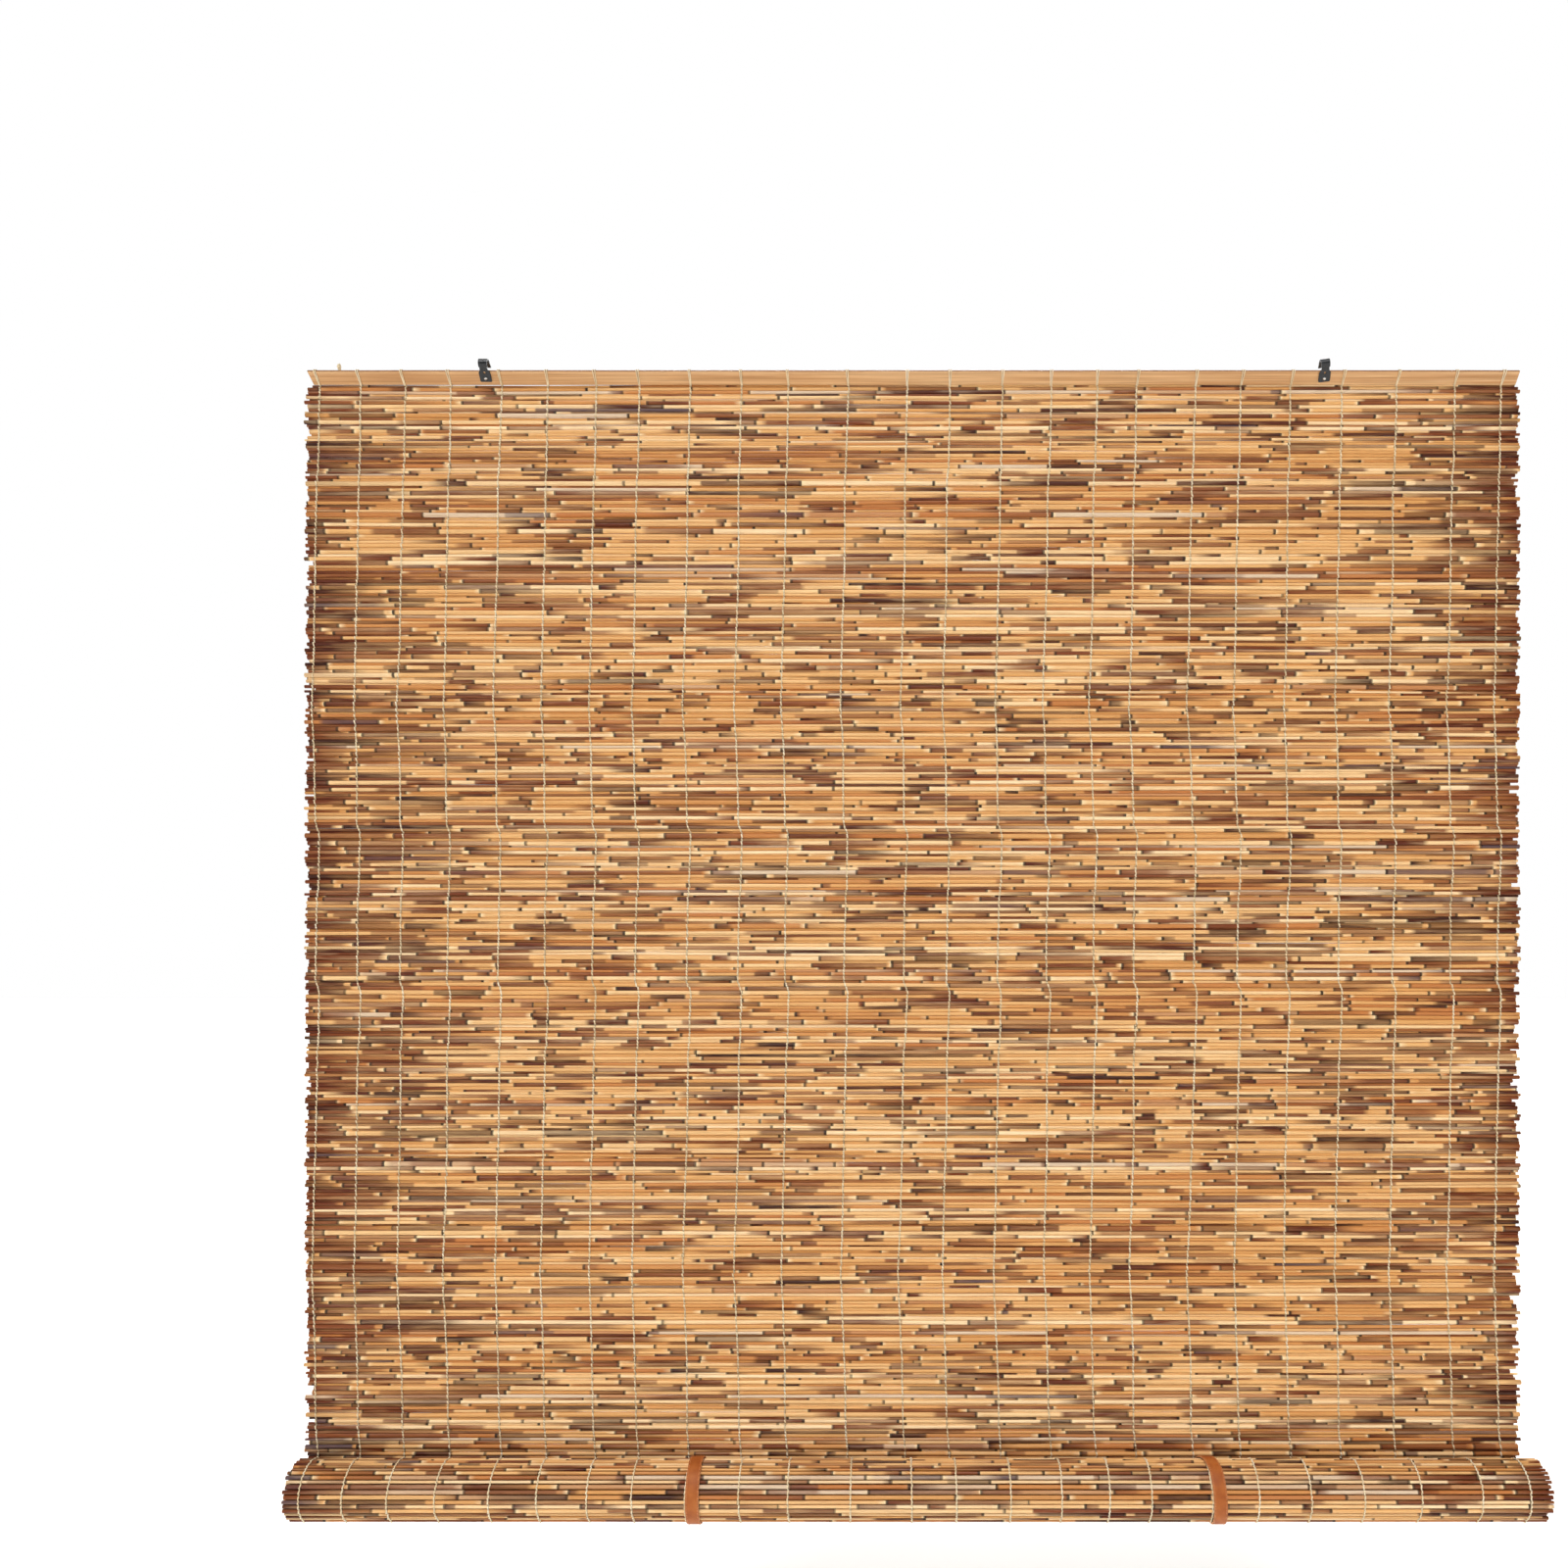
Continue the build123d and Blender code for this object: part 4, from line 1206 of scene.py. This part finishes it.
def plated_recipe(tree, place, light, dull, roughness, grain):
    """A plated or drawn metal with faint marks of its making."""
    mark = add_node(
        tree, "ShaderNodeTexNoise", {"Vector": place, "Scale": 1 / (grain * MM), "Detail": 4.0}
    )
    tone = add_node(tree, "ShaderNodeValToRGB", {0: mark}, stops=((0.35, dull), (0.65, light)))
    gloss = add_node(
        tree, "ShaderNodeMapRange", {0: mark, 1: 0.3, 2: 0.7, 3: roughness + 0.12, 4: roughness}
    )
    bump = add_node(
        tree, "ShaderNodeBump", {"Height": mark, "Strength": 0.1, "Distance": 0.05 * MM}
    )
    return {"Base Color": tone, "Roughness": gloss, "Normal": bump, "Metallic": 1.0}


ENAMEL = make_material("black_stoving_enamel", enamel_recipe)
NICKEL = make_material("nickel_plated_steel", plated_recipe, "#DEDCD6", "#B4B2AC", 0.2, 0.8)
BRASS = make_material("drawn_brass", plated_recipe, "#D9B26A", "#8F6C36", 0.25, 1.0)

# %% [markdown]
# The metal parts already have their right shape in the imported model, so they keep
# it and only get their finish. The foot slat at the heart of the roll is bamboo too.

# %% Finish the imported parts
FINISHES = {
    "hanger_left": ENAMEL, "hanger_right": ENAMEL,
    "rivet_left": NICKEL, "rivet_right": NICKEL,
    "press_stud_left": BRASS, "press_stud_right": BRASS,
    "foot_slat": BAMBOO,
}
for node, material in FINISHES.items():
    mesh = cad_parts[node].data
    mesh.materials.clear()
    mesh.materials.append(material)
print("finished", sorted(FINISHES))

# %% [markdown]
# The studio is plain. Its floor is painted board, almost white and matt, well below
# the blind, so no shadow edge or reflection of the blind lies on it.

# %% Lay the floor
FLOOR_Z, FLOOR_HALF = -2.1, 30  # metres


def floor_recipe(tree, place):
    """Matt white paint on board, faintly mottled over about a metre."""
    mottle = add_node(tree, "ShaderNodeTexNoise", {"Vector": place, "Scale": 0.8, "Detail": 2.0})
    tone = add_node(
        tree, "ShaderNodeValToRGB", {0: mottle}, stops=((0.3, "#F6F6F4"), (0.7, "#FAFAF9"))
    )
    return {"Base Color": tone, "Roughness": 0.9}


edge = (-FLOOR_HALF, FLOOR_HALF)
corners = [(x, y, FLOOR_Z) for x in edge for y in edge]
floor_mesh = bpy.data.meshes.new("floor")
floor_mesh.from_pydata(corners, [], [(0, 2, 3, 1)])
floor = bpy.data.objects.new("floor", floor_mesh)
bpy.context.scene.collection.objects.link(floor)
floor_mesh.materials.append(make_material("pale_floor_paint", floor_recipe))
print("floor at", FLOOR_Z)

# %% [markdown]
# The surround shows white to the camera but gives only a small part of that as
# light, or the dark lines between the reeds would wash out.

# %% Set the surround
SURROUND_LIGHT, SURROUND_SEEN = 0.08, 1.0
world = bpy.data.worlds.new("studio")
world.use_nodes = True
sky = world.node_tree
sky.nodes.clear()
seen = add_node(sky, "ShaderNodeLightPath").outputs["Is Camera Ray"]
power = add_node(
    sky, "ShaderNodeMapRange", {0: seen, 1: 0.0, 2: 1.0, 3: SURROUND_LIGHT, 4: SURROUND_SEEN}
)
surround = add_node(
    sky, "ShaderNodeBackground", {"Color": hex_colour("#FFFFFF"), "Strength": power}
)
add_node(sky, "ShaderNodeOutputWorld", {"Surface": surround})
bpy.context.scene.world = world
print("surround gives", SURROUND_LIGHT)

# %% [markdown]
# The key light hangs in front and above, so each reed is bright on its upper side
# and has a dark line under it. A second one from behind whitens the floor, and a
# weak fill from the front opens the shadows. The first two light the wide mat
# evenly because they are very far away, which is what Blender's sun is for.

# %% Place the lights
def hang_lamp(name, data, turn, place=(0.0, 0.0, 0.0)):
    """Put a light into the scene at a place, turned by angles in radians."""
    lamp = bpy.data.objects.new(name, data)
    lamp.location = place
    lamp.rotation_euler = turn
    bpy.context.scene.collection.objects.link(lamp)


def far_light(name, height, side, strength, spread):
    """A very large, far softbox; angles in degrees, height from level."""
    data = bpy.data.lights.new(name, "SUN")
    data.energy = strength
    data.angle = math.radians(spread)
    hang_lamp(name, data, (math.radians(90 - height), 0.0, math.radians(side)))


def soft_light(name, place, target, size, watts):
    """A square softbox, turned to its target; sizes in metres."""
    data = bpy.data.lights.new(name, "AREA")
    data.shape = "RECTANGLE"
    data.size, data.size_y, data.energy = size, size, watts
    away = np.array(place) - np.array(target)
    tilt = math.atan2(math.hypot(away[0], away[1]), away[2])
    hang_lamp(name, data, (tilt, 0.0, math.atan2(away[0], -away[1])), place)


far_light("key", height=55, side=-12, strength=2.4, spread=22)
far_light("floor_wash", height=38, side=180, strength=4.2, spread=30)
soft_light("fill", place=(0.6, -3.4, -0.6), target=(0, 0, -0.8), size=2.0, watts=9)
bpy.context.scene.view_settings.view_transform = "Standard"
bpy.context.scene.view_settings.look = "None"
